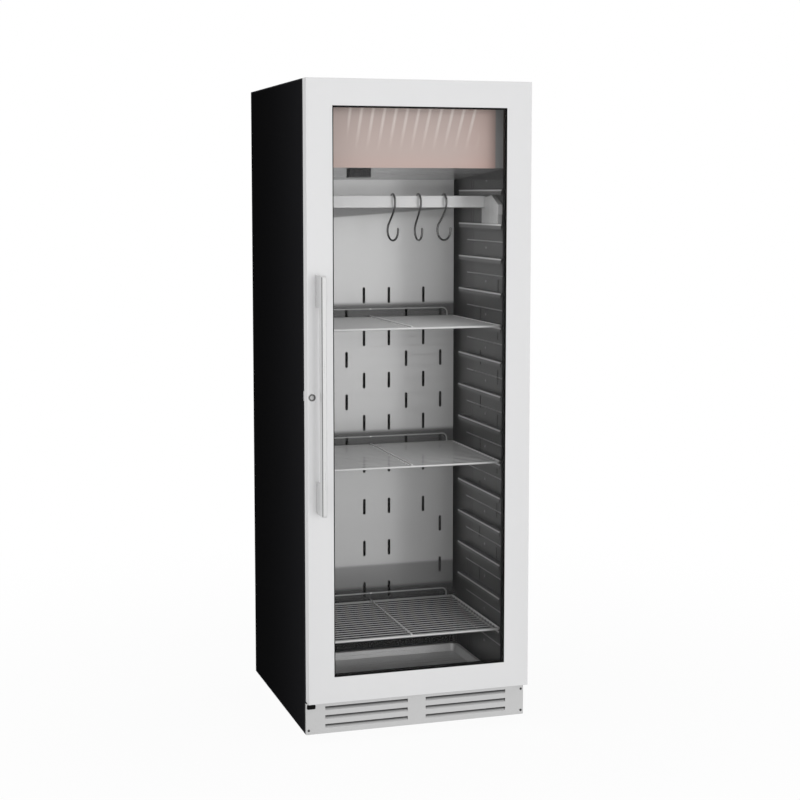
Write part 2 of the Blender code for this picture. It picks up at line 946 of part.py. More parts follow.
def add_fan_blades(shape, hub_radius, tip_radius, depth, sheet, count):
    """Twisted blades about the Z axis, each a slab that turns from hub to tip."""
    root = hub_radius - sheet
    stations = [(root, blade_root_deg), ((root + tip_radius) / 2, blade_middle_deg),
                (tip_radius, blade_tip_deg)]
    for i in range(count):
        turn = Matrix.Rotation(2 * math.pi * i / count, 3, "Z")
        loops = []
        for radius, pitch_deg in stations:
            chord = depth * blade_chord_share / math.sin(math.radians(pitch_deg))
            tilt = Matrix.Rotation(math.radians(pitch_deg), 3, "X")
            corners = [(-chord / 2, -sheet / 2), (chord / 2, -sheet / 2),
                       (chord / 2, sheet / 2), (-chord / 2, sheet / 2)]
            loops.append([turn @ (Vector((radius, 0, 0)) + tilt @ Vector((0, along, up)))
                          for along, up in corners])
        add_loops(shape, loops)


def make_rotor(name, centre, axis, tip_radius, hub_radius, hub_length, blade_depth, looks):
    """A fan rotor: a hub with a domed nose and twisted blades, its origin on its axis."""
    shape = bmesh.new()
    half = hub_length / 2
    nose = hub_radius * fan_nose_share
    profile = [(0, -half), (hub_radius, -half), (hub_radius, half - nose),
               (hub_radius - nose, half), (0, half)]
    add_turned(shape, profile, (0, 0, 0), "Z", fan_steps)
    rotor = finished(name, shape, looks["black_plastic"], turned_smooth_deg)
    blades = bmesh.new()
    add_fan_blades(blades, hub_radius, tip_radius, blade_depth, fan_blade_sheet, fan_blades)
    blade_tool = tool(name + "_blades", blades)
    combine(rotor, blade_tool, "UNION")
    turn = {"X": Matrix.Rotation(math.pi / 2, 4, "Y"), "Y": Matrix.Rotation(-math.pi / 2, 4, "X")}[axis]
    place = Matrix.Translation(centre) @ turn
    rotor.matrix_world = place
    blade_tool.matrix_world = place
    return rotor


def circulation_fan_centre():
    """The middle of the fan behind the housing, on its horizontal axis."""
    y = duct_front - bulkhead_setback + housing_sheet + fan_hub_length / 2 + fan_strut_depth
    return 0, y, (housing_bottom + inner_ceiling) / 2


def make_fan_bulkhead(looks):
    """The upright plate inside the housing that carries the fan."""
    y0 = duct_front - bulkhead_setback
    y1 = y0 + housing_sheet
    shape = bmesh.new()
    add_box(shape, (inner_left + touch, y0, housing_underside(y0) + housing_sheet + touch),
            (inner_right - touch, y1, inner_ceiling - touch))
    plate = finished("fan_bulkhead", shape, looks["satin_steel"])
    x, y, z = circulation_fan_centre()
    hole = bmesh.new()
    add_rod(hole, (x, y0 - overrun, z), (x, y1 + overrun, z), fan_radius + fan_ring, fan_steps)
    return cut(plate, "fan_opening", hole)


def cross_outline(across, up, reach, width):
    """The outline of an upright cross of two equal strips."""
    half = width / 2
    quarter = [(half, reach), (-half, reach), (-half, half)]
    outline = []
    for i in range(4):
        turn = math.radians(90 * i)
        outline += [(across + a * math.cos(turn) - b * math.sin(turn),
                     up + a * math.sin(turn) + b * math.cos(turn)) for a, b in quarter]
    return outline


def make_fan_motor(looks):
    """The fan's motor on a cross of struts, seated on the front of the bulkhead."""
    x, y, z = circulation_fan_centre()
    face = duct_front - bulkhead_setback - touch
    reach = fan_radius + fan_ring + fan_strut
    shape = bmesh.new()
    add_prism(shape, cross_outline(x, z, reach, fan_strut), "Y", face - fan_strut_depth, face)
    motor = finished("fan_motor", shape, looks["zinc"], turned_smooth_deg)
    can = bmesh.new()
    add_turned(can, [(0, 0), (fan_motor_radius, 0), (fan_motor_radius, fan_motor_length),
                     (0, fan_motor_length)],
               (x, face - fan_strut_depth / 2 - fan_motor_length, z), "Y", fan_steps)
    weld(motor, "fan_motor_can", can)
    shaft = bmesh.new()
    add_rod(shaft, (x, face - fan_shaft_root, z), (x, y - fan_hub_length / 2 - touch, z),
            fan_shaft_radius, pin_steps)
    return weld(motor, "fan_shaft", shaft)


def evaporator_front():
    """The front face of the evaporator, behind the duct panel."""
    return duct_back + evaporator_offset


def add_fin_pack(shape, low, high, count, axis):
    """A block cut into fins on both faces, drawn as one comb outline."""
    (a0, b0), (a1, b1) = low[:2], high[:2]
    pitch = (a1 - a0) / (count - 1 + fin_share)
    web = (b1 - b0) * fin_depth_share
    near, far = [], []
    for i in range(count):
        start = a0 + i * pitch
        stop = start + pitch * fin_share
        gap_end = a0 + (i + 1) * pitch
        near += [(start, b0), (stop, b0)]
        far += [(start, b1), (stop, b1)]
        if i < count - 1:
            near += [(stop, b0 + web), (gap_end, b0 + web)]
            far += [(stop, b1 - web), (gap_end, b1 - web)]
    add_prism(shape, near + far[::-1], axis, low[2], high[2])


def make_evaporator(looks):
    """The finned coil in the duct, with the bends of its tube at both ends."""
    y0 = evaporator_front()
    z0 = evaporator_bottom
    half = evaporator_half
    shape = bmesh.new()
    add_fin_pack(shape, (-half, y0, z0), (half, y0 + evaporator_depth, z0 + evaporator_height),
                 fin_count, "Z")
    coil = finished("evaporator", shape, looks["fin_metal"])
    bends = bmesh.new()
    middle = y0 + evaporator_depth / 2
    rise = evaporator_height / (coil_bend_rows + 1)
    width = coil_tube_radius
    for side in (-1, 1):
        for i in range(coil_bend_rows):
            z = z0 + (i + 1 / 2) * rise + (rise / 2 if side > 0 else 0)
            inner, outer = side * (half - coil_bend_root), side * (half + coil_bend_reach)
            low_x, high_x = min(inner, outer), max(inner, outer)
            add_box(bends, (low_x, middle - width, z), (high_x, middle + width, z + rise / 2))
    return weld(coil, "evaporator_bends", bends)


def make_trough(looks):
    """The gutter under the evaporator, on the duct's rear wall, with a hole for its drain."""
    z1 = evaporator_bottom - touch
    z0 = z1 - trough_height
    y0, y1 = evaporator_front() - trough_margin, inner_back - touch
    outline = [
        (y0, z1), (y0, z0), (y1, z0), (y1, z1 + trough_height), (y1 - trough_sheet, z1 + trough_height),
        (y1 - trough_sheet, z0 + trough_sheet), (y0 + trough_sheet, z0 + trough_sheet),
        (y0 + trough_sheet, z1),
    ]
    half = evaporator_half + coil_bend_reach
    shape = bmesh.new()
    add_prism(shape, outline, "X", -half, half)
    trough = finished("drain_trough", shape, looks["fin_metal"])
    rests = bmesh.new()
    for side in (-1, 1):
        x = side * half * trough_rest_share
        add_box(rests, (x - trough_rest_width / 2, evaporator_front(), z0 + trough_sheet / 2),
                (x + trough_rest_width / 2, evaporator_front() + trough_rest_depth, z1))
    weld(trough, "trough_rests", rests)
    x, y = drain_place()
    hole = bmesh.new()
    add_rod(hole, (x, y, z0 - overrun), (x, y, z0 + trough_sheet + overrun), drain_bore, pin_steps)
    return cut(trough, "trough_drain_hole", hole)


def make_drain_pipe(looks):
    """The pipe that takes the condensate from the trough down into the compressor bay."""
    x, y = drain_place()
    z1 = evaporator_bottom - trough_height - 2 * touch
    z0 = compressor_top() + condensate_height - condensate_dip
    shape = bmesh.new()
    profile = [(drain_bore, 0), (drain_radius, 0), (drain_radius, z1 - z0), (drain_bore, z1 - z0)]
    add_turned(shape, profile, (x, y, z0), "Z", pin_steps, ring=True)
    return finished("drain_pipe", shape, looks["grey_plastic"], turned_smooth_deg)


# Racks, shelves, bar, hooks and tray

def rack_slot_places():
    """The two columns of slots in a rack's side, staggered, as (y, z)."""
    places = []
    for y, rise in ((rack_front + rack_slot_front, rack_slot_front_rise),
                    (rack_front + rack_slot_rear, rack_slot_rear_rise)):
        for row in range(slot_rows):
            places.append((y, base + rise + row * slot_row_pitch))
    return places


def make_rack(name, side, looks):
    """One side panel, stood off the liner by its folded edges, with its ledges, ribs and dimples."""
    wall = inner_right - touch
    y0, y1 = rack_front, rack_front + rack_depth
    outline = [
        (side * wall, y0), (side * rack_face, y0), (side * rack_face, y1), (side * wall, y1),
        (side * wall, y1 - rack_sheet), (side * (rack_face + rack_sheet), y1 - rack_sheet),
        (side * (rack_face + rack_sheet), y0 + rack_sheet), (side * wall, y0 + rack_sheet),
    ]
    shape = bmesh.new()
    add_prism(shape, outline, "Z", inner_floor + touch, housing_underside(y1) - rack_head_gap)
    rack = finished(name, shape, looks["satin_steel"])
    root = rack_face + rack_sheet / 2
    ribs = bmesh.new()
    for level in range(1, ledge_count):
        z = ledge_top(level) - rib_drop
        rib = [(side * root, z - rib_height / 2), (side * root, z + rib_height / 2),
               (side * (rack_face - rib_reach), z)]
        add_prism(ribs, rib, "Y", y0 + rack_sheet / 2, y0 + rib_depth)
    weld(rack, name + "_ribs", ribs)
    dimples = bmesh.new()
    for level in range(1, ledge_count):
        height = rib_reach + rack_sheet / 2
        profile = [(0, 0), (dimple_radius, 0), (dimple_crown, height), (0, height)]
        if side > 0:
            profile = [(radius, -up) for radius, up in profile]
        add_turned(dimples, profile, (side * root, y0 + dimple_setback, ledge_top(level) - dimple_drop),
                   "X", dimple_steps)
    weld(rack, name + "_dimples", dimples)
    slots = bmesh.new()
    ends = sorted((side * (rack_face - overrun), side * (rack_face + overrun)))
    for y, z in rack_slot_places():
        add_prism(slots, slot_outline(y, z, slot_width, slot_height, rack_slot_steps), "X", *ends)
    cut(rack, name + "_slots", slots)
    ledges = bmesh.new()
    far = rack_front + ledge_depth
    for level in range(ledge_count):
        z = ledge_top(level)
        ledge = [
            (side * root, z), (side * ledge_edge, z), (side * ledge_edge, z - ledge_height),
            (side * (ledge_edge + ledge_sheet), z - ledge_height),
            (side * (ledge_edge + ledge_sheet), z - ledge_sheet), (side * root, z - ledge_sheet),
        ]
        add_prism(ledges, ledge, "Y", rack_front + rack_sheet / 2, far - ledge_nose)
    return weld(rack, name + "_ledges", ledges)


def shelf_box():
    """The outer edges of a shelf: half its width, and its front and rear."""
    return rack_face - shelf_side_gap, front + shelf_setback, duct_front - shelf_rear_gap


def make_shelf(name, level, looks):
    """A wire shelf: a bent frame rod, a middle rod, thin wires across and a stop at the back."""
    half, y0, y1 = shelf_box()
    thick, thin = shelf_frame_radius, shelf_wire_radius
    z = ledge_top(level) + touch + thick
    outline = rounded_rectangle((thick - half, y0 + thick), (half - thick, y1 - thick),
                                shelf_corner, shelf_corner_steps)
    mesh = wire_mesh(name, [(x, y, z) for x, y in outline], thick, wire_level, cyclic=True)
    shelf = link(name, mesh, looks["chrome"])
    wire_z = z + shelf_wire_rise
    level_z = wire_z + thin + shelf_middle_radius - shelf_weld
    middle = bmesh.new()
    add_rod(middle, (0, y0 + shelf_middle_inset, level_z), (0, y1 - shelf_middle_inset, level_z),
            shelf_middle_radius, wire_sides)
    weld(shelf, name + "_middle_rod", middle)
    wires = bmesh.new()
    for i in range(shelf_wires):
        inwards = (y1 - y0 - 2 * thick) * (i + 1 / 2) / shelf_wires
        y = y0 + thick + inwards
        corner = max(shelf_corner - min(inwards, y1 - y0 - 2 * thick - inwards), 0)
        reach = half - thick - shelf_corner + math.sqrt(shelf_corner ** 2 - corner ** 2)
        add_rod(wires, (-reach, y, wire_z), (reach, y, wire_z), thin, wire_sides)
    weld(shelf, name + "_wires", wires)
    stop = half - shelf_corner - shelf_stop_inset
    rear = y1 - thick
    crest = z + shelf_stop_height
    path = ([(-stop, rear, z)]
            + [(x, rear, h) for x, h in arc((shelf_stop_inset - stop, crest - shelf_stop_inset),
                                            shelf_stop_inset, 180, 90, shelf_stop_steps)]
            + [(x, rear, h) for x, h in arc((stop - shelf_stop_inset, crest - shelf_stop_inset),
                                            shelf_stop_inset, 90, 0, shelf_stop_steps)]
            + [(stop, rear, z)])
    rail = link(name + "_stop", wire_mesh(name + "_stop", path, shelf_stop_radius, wire_level), None)
    rail.hide_render = True
    rail.display_type = "WIRE"
    combine(shelf, rail, "UNION")
    return shelf


def bar_bottom():
    """Height of the hanging bar's underside, close below the next ledge."""
    return ledge_top(bar_ledge + 1) - ledge_height - bar_head_gap - bar_height


def make_bar(looks):
    """The hanging bar, a flat rectangular tube laid in its two brackets."""
    z0 = bar_bottom()
    z1 = z0 + bar_height
    y0, y1 = bar_centre - bar_depth / 2, bar_centre + bar_depth / 2
    reach = rack_face - bar_end_gap
    shape = bmesh.new()
    add_box(shape, (-reach, y0, z0), (reach, y1, z1))
    bar = finished("hanging_bar", shape, looks["bright_steel"])
    bore = bmesh.new()
    add_box(bore, (-reach - overrun, y0 + bar_sheet, z0 + bar_sheet),
            (reach + overrun, y1 - bar_sheet, z1 - bar_sheet))
    return cut(bar, "hanging_bar_bore", bore)


def make_bracket(name, side, looks):
    """A roof-topped block on the ledge, along the rack's side, that takes the end of the bar."""
    foot = ledge_top(bar_ledge) + touch
    z0 = bar_bottom()
    z1 = z0 + bar_height
    rear, near = bar_centre + bracket_rear_reach, bar_centre - bracket_front_reach
    step = foot + bracket_foot_height
    outline = [
        (rear, foot), (rear, z1 - bracket_slope), (bar_centre - bracket_peak_reach, z1 + bracket_peak_rise),
        (near, z0 + bracket_slope), (near, step), (near + bracket_foot_inset, step),
        (near + bracket_foot_inset, foot),
    ]
    outer = rack_face - rib_reach - touch
    ends = sorted((side * outer, side * (outer - bracket_thickness)))
    shape = bmesh.new()
    add_prism(shape, outline, "X", *ends)
    bracket = finished(name, shape, looks["bright_steel"])
    pocket = bmesh.new()
    ends = sorted((side * (rack_face - bar_end_gap + touch),
                   side * (outer - bracket_thickness - overrun)))
    add_box(pocket, (ends[0], bar_centre - bar_depth / 2 - touch, z0 - touch),
            (ends[1], bar_centre + bar_depth / 2 + touch, z1 + bar_height))
    return cut(bracket, name + "_pocket", pocket)


def hook_pivot(x):
    """The centre of a hook's upper bend, about which it swings on the bar."""
    inner = hook_loop_radius - hook_wire_radius
    rise = math.sqrt(inner ** 2 - (bar_depth / 2) ** 2)
    flat = hook_loop_radius * (1 - math.cos(math.radians(hook_step_deg / 2)))
    return Vector((x, bar_centre, bar_bottom() + bar_height + touch + flat - rise))


def hook_path(pivot, twist_deg, lean):
    """The centre line of an S hook: a bend over the bar, a slanting shank and a twisted belly.

    It is drawn in the hook's own plane, forwards and up, and each half is then set in its plane.
    """
    turn = math.radians(twist_deg)
    forward, twisted = Vector((0, -1, 0)), Vector((math.sin(turn), -math.cos(turn), 0))
    centre = pivot + forward * lean - Vector((0, 0, hook_drop))
    span = math.hypot(lean, hook_drop)
    cross_deg = math.degrees(math.atan2(lean, hook_drop)
                             - math.asin((hook_loop_radius + hook_belly_radius) / span))

    def bend(middle, ahead, radius, first_deg, last_deg):
        steps = math.ceil(abs(last_deg - first_deg) / hook_step_deg)
        return [middle + ahead * along + Vector((0, 0, up))
                for along, up in arc((0, 0), radius, first_deg, last_deg, steps)]

    points = bend(pivot, forward, hook_loop_radius, hook_open_deg, cross_deg)
    belly = bend(centre, twisted, hook_belly_radius, 180 + cross_deg, hook_tip_deg)
    last, first = points[-1], belly[0]
    length = (first - last).length
    leave = (points[-1] - points[-2]).normalized() * length
    reach = (belly[1] - belly[0]).normalized() * length
    for i in range(1, hook_shank_steps):
        share = i / hook_shank_steps
        ease = share * share * (3 - 2 * share)
        points.append(last.lerp(first, ease) + leave * share * (1 - share) ** 2
                      - reach * share ** 2 * (1 - share))
    return points + belly


def middle_of(points):
    """The centre of mass of a wire along the points."""
    total, length = Vector(), 0
    for start, end in zip(points, points[1:]):
        piece = (end - start).length
        total += (start + end) / 2 * piece
        length += piece
    return total / length


def make_hook(name, looks):
    """One S hook, balanced below the axis that it swings about."""
    pivot = hook_pivot(hook_places[name])
    twist = hook_twists_deg[name]
    lean = 0
    for _ in range(hook_balance_rounds):
        upright = middle_of(hook_path(pivot, twist, lean)).y - pivot.y
        leaning = middle_of(hook_path(pivot, twist, lean + hook_wire_radius)).y - pivot.y
        lean += hook_wire_radius * upright / (upright - leaning)
    hook = link(name, wire_mesh(name, hook_path(pivot, twist, lean), hook_wire_radius, wire_level),
                looks["chrome"])
    hook.data.shade_smooth()
    set_origin(hook, pivot)
    return hook


def make_tray(looks):
    """The pressed drip tray on the floor, with drawn corners and a turned rim."""
    half, y0 = inner_right - tray_side_gap, front + tray_setback
    y1 = y0 + tray_depth
    floor = inner_floor + touch
    rim = floor + tray_height
    wall = tray_rim
    foot = wall + tray_draft

    def loop(inset, z):
        corner = max(tray_corner - inset, tray_inner_corner)
        outline = rounded_rectangle((inset - half, y0 + inset), (half - inset, y1 - inset),
                                    corner, tray_corner_steps)
        return [(x, y, z) for x, y in outline]

    shape = bmesh.new()
    add_loops(shape, [
        loop(foot, floor), loop(wall, rim - tray_sheet), loop(0, rim - tray_sheet), loop(0, rim),
        loop(wall + tray_sheet, rim), loop(foot + tray_sheet, floor + tray_sheet),
    ])
    return finished("drip_tray", shape, looks["bright_steel"], tray_smooth_deg)


# Kick plate

def make_kick_plate(looks):
    """The louvred plinth plate, folded back to the case at both ends."""
    y0, y1 = door_back, case_front - touch
    inner = y0 + kick_sheet
    outline = [
        (left, y0), (right, y0), (right, y1), (right - kick_sheet, y1),
        (right - kick_sheet, inner), (left + kick_sheet, inner), (left + kick_sheet, y1), (left, y1),
    ]
    shape = bmesh.new()
    add_prism(shape, outline, "Z", base, base + kick_height)
    plate = finished("kick_plate", shape, looks["kick_steel"])
    slots, slats = bmesh.new(), bmesh.new()
    for column in range(louvre_columns):
        x = louvre_centre_offset * (2 * column - 1)
        x0, x1 = x - louvre_length / 2, x + louvre_length / 2
        for row in range(louvre_rows):
            z0 = base + louvre_first_rise + row * louvre_pitch - louvre_height / 2
            z1 = z0 + louvre_height
            add_box(slots, (x0, y0 - overrun, z0), (x1, inner + overrun, z1))
            slat = [(inner - kick_sheet / 2, z0 - kick_sheet), (inner + louvre_reach, z1),
                    (inner + louvre_reach, z1 + kick_sheet), (inner - kick_sheet / 2, z0)]
            add_prism(slats, slat, "X", x0 - kick_sheet, x1 + kick_sheet)
    cut(plate, "kick_slots", slots)
    return weld(plate, "kick_slats", slats)


def make_cap(looks):
    """The black cap over the unused hinge hole at the left end of the kick plate."""
    z0 = base + cap_rise
    x0 = left + cap_inset
    outline = rounded_rectangle((x0, z0), (x0 + cap_width, z0 + cap_height),
                                cap_corner, corner_steps)
    shape = bmesh.new()
    add_prism(shape, outline, "Y", door_back - touch - cap_depth, door_back - touch)
    return finished("hinge_hole_cap", shape, looks["black_plastic"])


def screw_places():
    """The three screws that show on the kick plate, as (x, z)."""
    low, high = base + screw_low_rise, base + screw_high_rise
    return {"kick_screw_left": (left + screw_inset, low), "kick_screw_right_low": (right - screw_inset, low),
            "kick_screw_right_high": (right - screw_inset, high)}


def make_kick_screw(name, looks):
    """A pan head screw with a cross recess, seated on the kick plate."""
    x, z = screw_places()[name]
    face = door_back - touch
    profile = [(0, -screw_head), (screw_crown, -screw_head), (screw_radius, -screw_edge),
               (screw_radius, 0), (0, 0)]
    shape = bmesh.new()
    add_turned(shape, profile, (x, face, z), "Y", screw_steps)
    screw = finished(name, shape, looks["zinc"], turned_smooth_deg)
    recess = bmesh.new()
    add_prism(recess, cross_outline(x, z, screw_cross, screw_cross_width), "Y",
              face - screw_head - overrun, face - screw_head + screw_cross_depth)
    return cut(screw, name + "_recess", recess)


# Door

def make_door_frame(looks):
    """The folded steel skin of the door round its window, notched for the hinge plates."""
    radius = door_edge_radius
    corner = [(x, y) for x, y in arc((radius, front + radius), radius, 180, 270, corner_steps)]
    profile = ([(0, door_back)] + corner
               + [(door_frame_width, front), (door_frame_width, front + door_sheet),
                  (door_sheet, front + door_sheet), (door_sheet, door_back)])
    shape = bmesh.new()
    add_swept_frame(shape, rectangle(left, door_bottom, right, top), profile)
    frame = finished("door_frame", shape, looks["door_steel"])
    x0 = right - pin_inset - hinge_half_width - hinge_notch_gap
    y0 = front + door_sheet + touch
    notches = bmesh.new()
    add_box(notches, (x0, y0, top - hinge_notch), (right + overrun, door_back + overrun, top + overrun))
    add_box(notches, (x0, y0, door_bottom - overrun),
            (right + overrun, door_back + overrun, door_bottom + hinge_notch))
    cut(frame, "door_hinge_notches", notches)
    hole = bmesh.new()
    x, z = left + lock_inset, base + lock_rise
    add_rod(hole, (x, front - overrun, z), (x, front + door_sheet + overrun, z),
            lock_body_radius + touch, lock_steps)
    return cut(frame, "door_lock_hole", hole)


def bush_box(side):
    """The block that holds a hinge pin, at the top (side 1) or the bottom (side -1) of the door."""
    x = right - pin_inset
    y = front + pin_setback
    low_x = right - door_sheet - touch - bush_width
    edge = top if side > 0 else door_bottom
    near = edge - side * (hinge_notch + bush_gap)
    far = near - side * bush_length
    low = (low_x, y - bush_depth / 2, min(near, far))
    high = (low_x + bush_width, y + bush_depth / 2, max(near, far))
    return low, high, (x, y)


def make_door_core(looks):
    """The plastic core behind the steel skin, which holds the glass and the gasket."""
    y0 = front + door_sheet + touch
    glass_back = y0 + 2 * glass_thickness + spacer_depth + 2 * touch
    mid, edge = core_inset + core_width, core_inset + core_width + core_tongue
    profile = [(core_inset, y0), (mid, y0), (mid, glass_back + touch), (edge, glass_back + touch),
               (edge, door_back), (core_inset, door_back)]
    shape = bmesh.new()
    add_swept_frame(shape, rectangle(left, door_bottom, right, top), profile)
    core = finished("door_core", shape, looks["black_plastic"])
    pockets = bmesh.new()
    for side in (-1, 1):
        low, high, _ = bush_box(side)
        low_z, high_z = low[2] - touch, high[2] + touch
        if side > 0:
            high_z = top
        else:
            low_z = door_bottom
        add_box(pockets, (low[0] - touch, y0 - overrun, low_z), (right, door_back + overrun, high_z))
    reach = lock_body_radius + lock_pocket
    x, z = left + lock_inset, base + lock_rise
    add_box(pockets, (left - overrun, y0 - overrun, z - reach), (x + reach, door_back + overrun, z + reach))
    return cut(core, "door_core_pockets", pockets)


def make_glass(looks):
    """Outer pane, spacer and inner pane of the door's glazing."""
    y0 = front + door_sheet + touch
    low_x, high_x = left + glass_inset, right - glass_inset
    low_z, high_z = door_bottom + glass_inset, top - glass_inset
    shape = bmesh.new()
    add_box(shape, (low_x, y0, low_z), (high_x, y0 + glass_thickness, high_z))
    outer = finished("outer_glass", shape, looks["glass"])
    y1 = y0 + glass_thickness + touch
    y2 = y1 + spacer_depth
    reach = door_frame_width + glass_border - glass_inset
    profile = [(0, y1), (reach, y1), (reach, y2), (0, y2)]
    ring = bmesh.new()
    add_swept_frame(ring, rectangle(low_x, low_z, high_x, high_z), profile)
    spacer = finished("glass_spacer", ring, looks["black_plastic"])
    pane = bmesh.new()
    add_box(pane, (low_x, y2 + touch, low_z), (high_x, y2 + touch + glass_thickness, high_z))
    inner = finished("inner_glass", pane, looks["glass"])
    return outer, spacer, inner


def make_gasket(looks):
    """The magnetic gasket: a base on the door, a neck and a broad sealing head."""
    y0, y1 = door_back + touch, case_front - touch
    width, neck = gasket_width, (gasket_width - gasket_neck) / 2
    step = gasket_shoulder
    profile = [
        (step, y0), (width - step, y0), (width - step, y0 + gasket_lip), (width - neck, y0 + gasket_lip),
        (width - neck, y1 - gasket_throat), (width, y1 - gasket_head), (width, y1),
        (0, y1), (0, y1 - gasket_head), (neck, y1 - gasket_throat),
        (neck, y0 + gasket_lip), (step, y0 + gasket_lip),
    ]
    shape = bmesh.new()
    inset = gasket_inset
    add_swept_frame(shape, rectangle(left + inset, door_bottom + inset, right - inset, top - inset), profile)
    return finished("door_gasket", shape, looks["rubber"])


def make_handle(looks):
    """The one-piece handle: a flat upright bar with a solid post at each end."""
    near, far = front - touch, front - handle_reach
    z0 = base + handle_rise
    z1 = z0 + handle_length
    grip = far + handle_bar
    low, high = z0 + handle_post, z1 - handle_post
    radius, small = handle_corner, handle_inner_corner
    outline = ([(near, z0)]
               + arc((far + radius, z0 + radius), radius, 270, 180, corner_steps)
               + arc((far + radius, z1 - radius), radius, 180, 90, corner_steps)
               + [(near, z1), (near, high)]
               + arc((grip + small, high - small), small, 90, 180, corner_steps)
               + arc((grip + small, low + small), small, 180, 270, corner_steps)
               + [(near, low)])
    shape = bmesh.new()
    x0 = left + handle_inset
    add_prism(shape, outline, "X", x0, x0 + handle_width)
    handle = finished("door_handle", shape, looks["bright_steel"], handle_smooth_deg)
    bevel = handle.modifiers.new("edge_break", "BEVEL")
    bevel.width = handle_edge
    bevel.segments = 1
    bevel.limit_method = "ANGLE"
    bevel.angle_limit = math.radians(handle_bevel_deg)
    return handle


def make_lock(looks):
    """The lock's barrel in the door and its plug, whose cam turns behind the door."""
    x, z = left + lock_inset, base + lock_rise
    bezel, edge = lock_bezel_radius, lock_bezel_edge
    bore = lock_plug_radius + touch
    length = door_thickness - touch
    profile = [
        (bore, -lock_bezel_height), (bezel - edge, -lock_bezel_height),
        (bezel, edge - lock_bezel_height), (bezel, -touch), (lock_body_radius, -touch),
        (lock_body_radius, length), (bore, length),
    ]
    shape = bmesh.new()
    add_turned(shape, profile, (x, front, z), "Y", lock_steps, ring=True)
    barrel = finished("lock_barrel", shape, looks["chrome"], turned_smooth_deg)
    face = lock_plug_setback - lock_bezel_height
    shoulder = length - touch
    tail = door_thickness + cam_setback + cam_thickness
    plug_shape = bmesh.new()
    add_turned(plug_shape, [(0, face), (lock_plug_radius, face), (lock_plug_radius, shoulder),
                            (lock_shank_radius, shoulder), (lock_shank_radius, tail), (0, tail)],
               (x, front, z), "Y", lock_steps)
    plug = finished("lock_plug", plug_shape, looks["chrome"], turned_smooth_deg)
    set_origin(plug, (x, front, z))
    cam = bmesh.new()
    add_box(cam, (x - cam_half_width, front + tail - cam_thickness, z - cam_length),
            (x + cam_half_width, front + tail + touch, z + cam_half_width))
    weld(plug, "lock_cam", cam)
    key = bmesh.new()
    add_box(key, (x - key_slot_width / 2, front - overrun, z - key_slot_height / 2),
            (x + key_slot_width / 2, front + face + key_slot_depth, z + key_slot_height / 2))
    return barrel, cut(plug, "lock_key_slot", key)


def make_keeper(looks):
    """The keeper on the case that the lock's cam turns behind."""
    x0 = left + keeper_inset
    x1 = x0 + keeper_width
    y0, y1 = door_back + keeper_gap, case_front - touch
    sheet = keeper_sheet
    outline = [(x0, y0), (x1, y0), (x1, y0 + sheet), (x0 + sheet, y0 + sheet),
               (x0 + sheet, y1 - sheet), (x1, y1 - sheet), (x1, y1), (x0, y1)]
    shape = bmesh.new()
    middle = base + lock_rise
    add_prism(shape, outline, "Z", middle - keeper_height / 2, middle + keeper_height / 2)
    return finished("lock_keeper", shape, looks["zinc"])


def make_hinge(name, side, looks):
    """A hinge plate with its flange on the case and its pin, at the top or bottom of the door."""
    edge = top if side > 0 else door_bottom
    x, y = right - pin_inset, front + pin_setback
    half = hinge_half_width
    face = case_front - touch
    near, far = edge - side * hinge_gap, edge - side * (hinge_gap + hinge_plate)
    outline = arc((x, y), half, 180, 360, 2 * corner_steps) + [(x + half, face), (x - half, face)]
    shape = bmesh.new()
    add_prism(shape, outline, "Z", min(near, far), max(near, far))
    hinge = finished(name, shape, looks["zinc"])
    flange = bmesh.new()
    end = edge - side * (hinge_gap + hinge_flange_height)
    add_box(flange, (right - hinge_flange_length - hinge_edge_inset, face - hinge_plate, min(near, end)),
            (right - hinge_edge_inset, face, max(near, end)))
    weld(hinge, name + "_flange", flange)
    pin = bmesh.new()
    start = (near + far) / 2
    add_rod(pin, (x, y, start), (x, y, far - side * pin_length), pin_radius, pin_steps)
    return weld(hinge, name + "_pin", pin)


def make_bush(name, side, looks):
    """The plastic bush block in the door that turns on the hinge pin."""
    low, high, (x, y) = bush_box(side)
    shape = bmesh.new()
    add_box(shape, low, high)
    bush = finished(name, shape, looks["black_plastic"])
    bore = bmesh.new()
    add_rod(bore, (x, y, low[2] - overrun), (x, y, high[2] + overrun),
            pin_radius + pin_clearance, pin_steps)
    return cut(bush, name + "_bore", bore)


# Feet and compressor bay

def make_foot(name, looks):
    """A levelling foot: a pad on a stem that screws into the base."""
    x, y = foot_places()[name]
    stem_top = base_top + foot_stem_length
    profile = [(0, 0), (foot_radius - foot_edge, 0), (foot_radius, foot_edge), (foot_radius, foot_pad),
               (foot_stem_radius, foot_pad), (foot_stem_radius, stem_top), (0, stem_top)]
    shape = bmesh.new()
    add_turned(shape, profile, (x, y, 0), "Z", foot_steps)
    foot = finished(name, shape, looks["black_plastic"], turned_smooth_deg)
    set_origin(foot, (x, y, 0))
    return foot


def bay_middle():
    """The middle of the compressor bay along Y."""
    return (bay_front + rear_plate_front) / 2


def compressor_top():
    """Height of the top of the compressor's can."""
    return base_top + touch + compressor_leg + compressor_plate / 2 + compressor_height


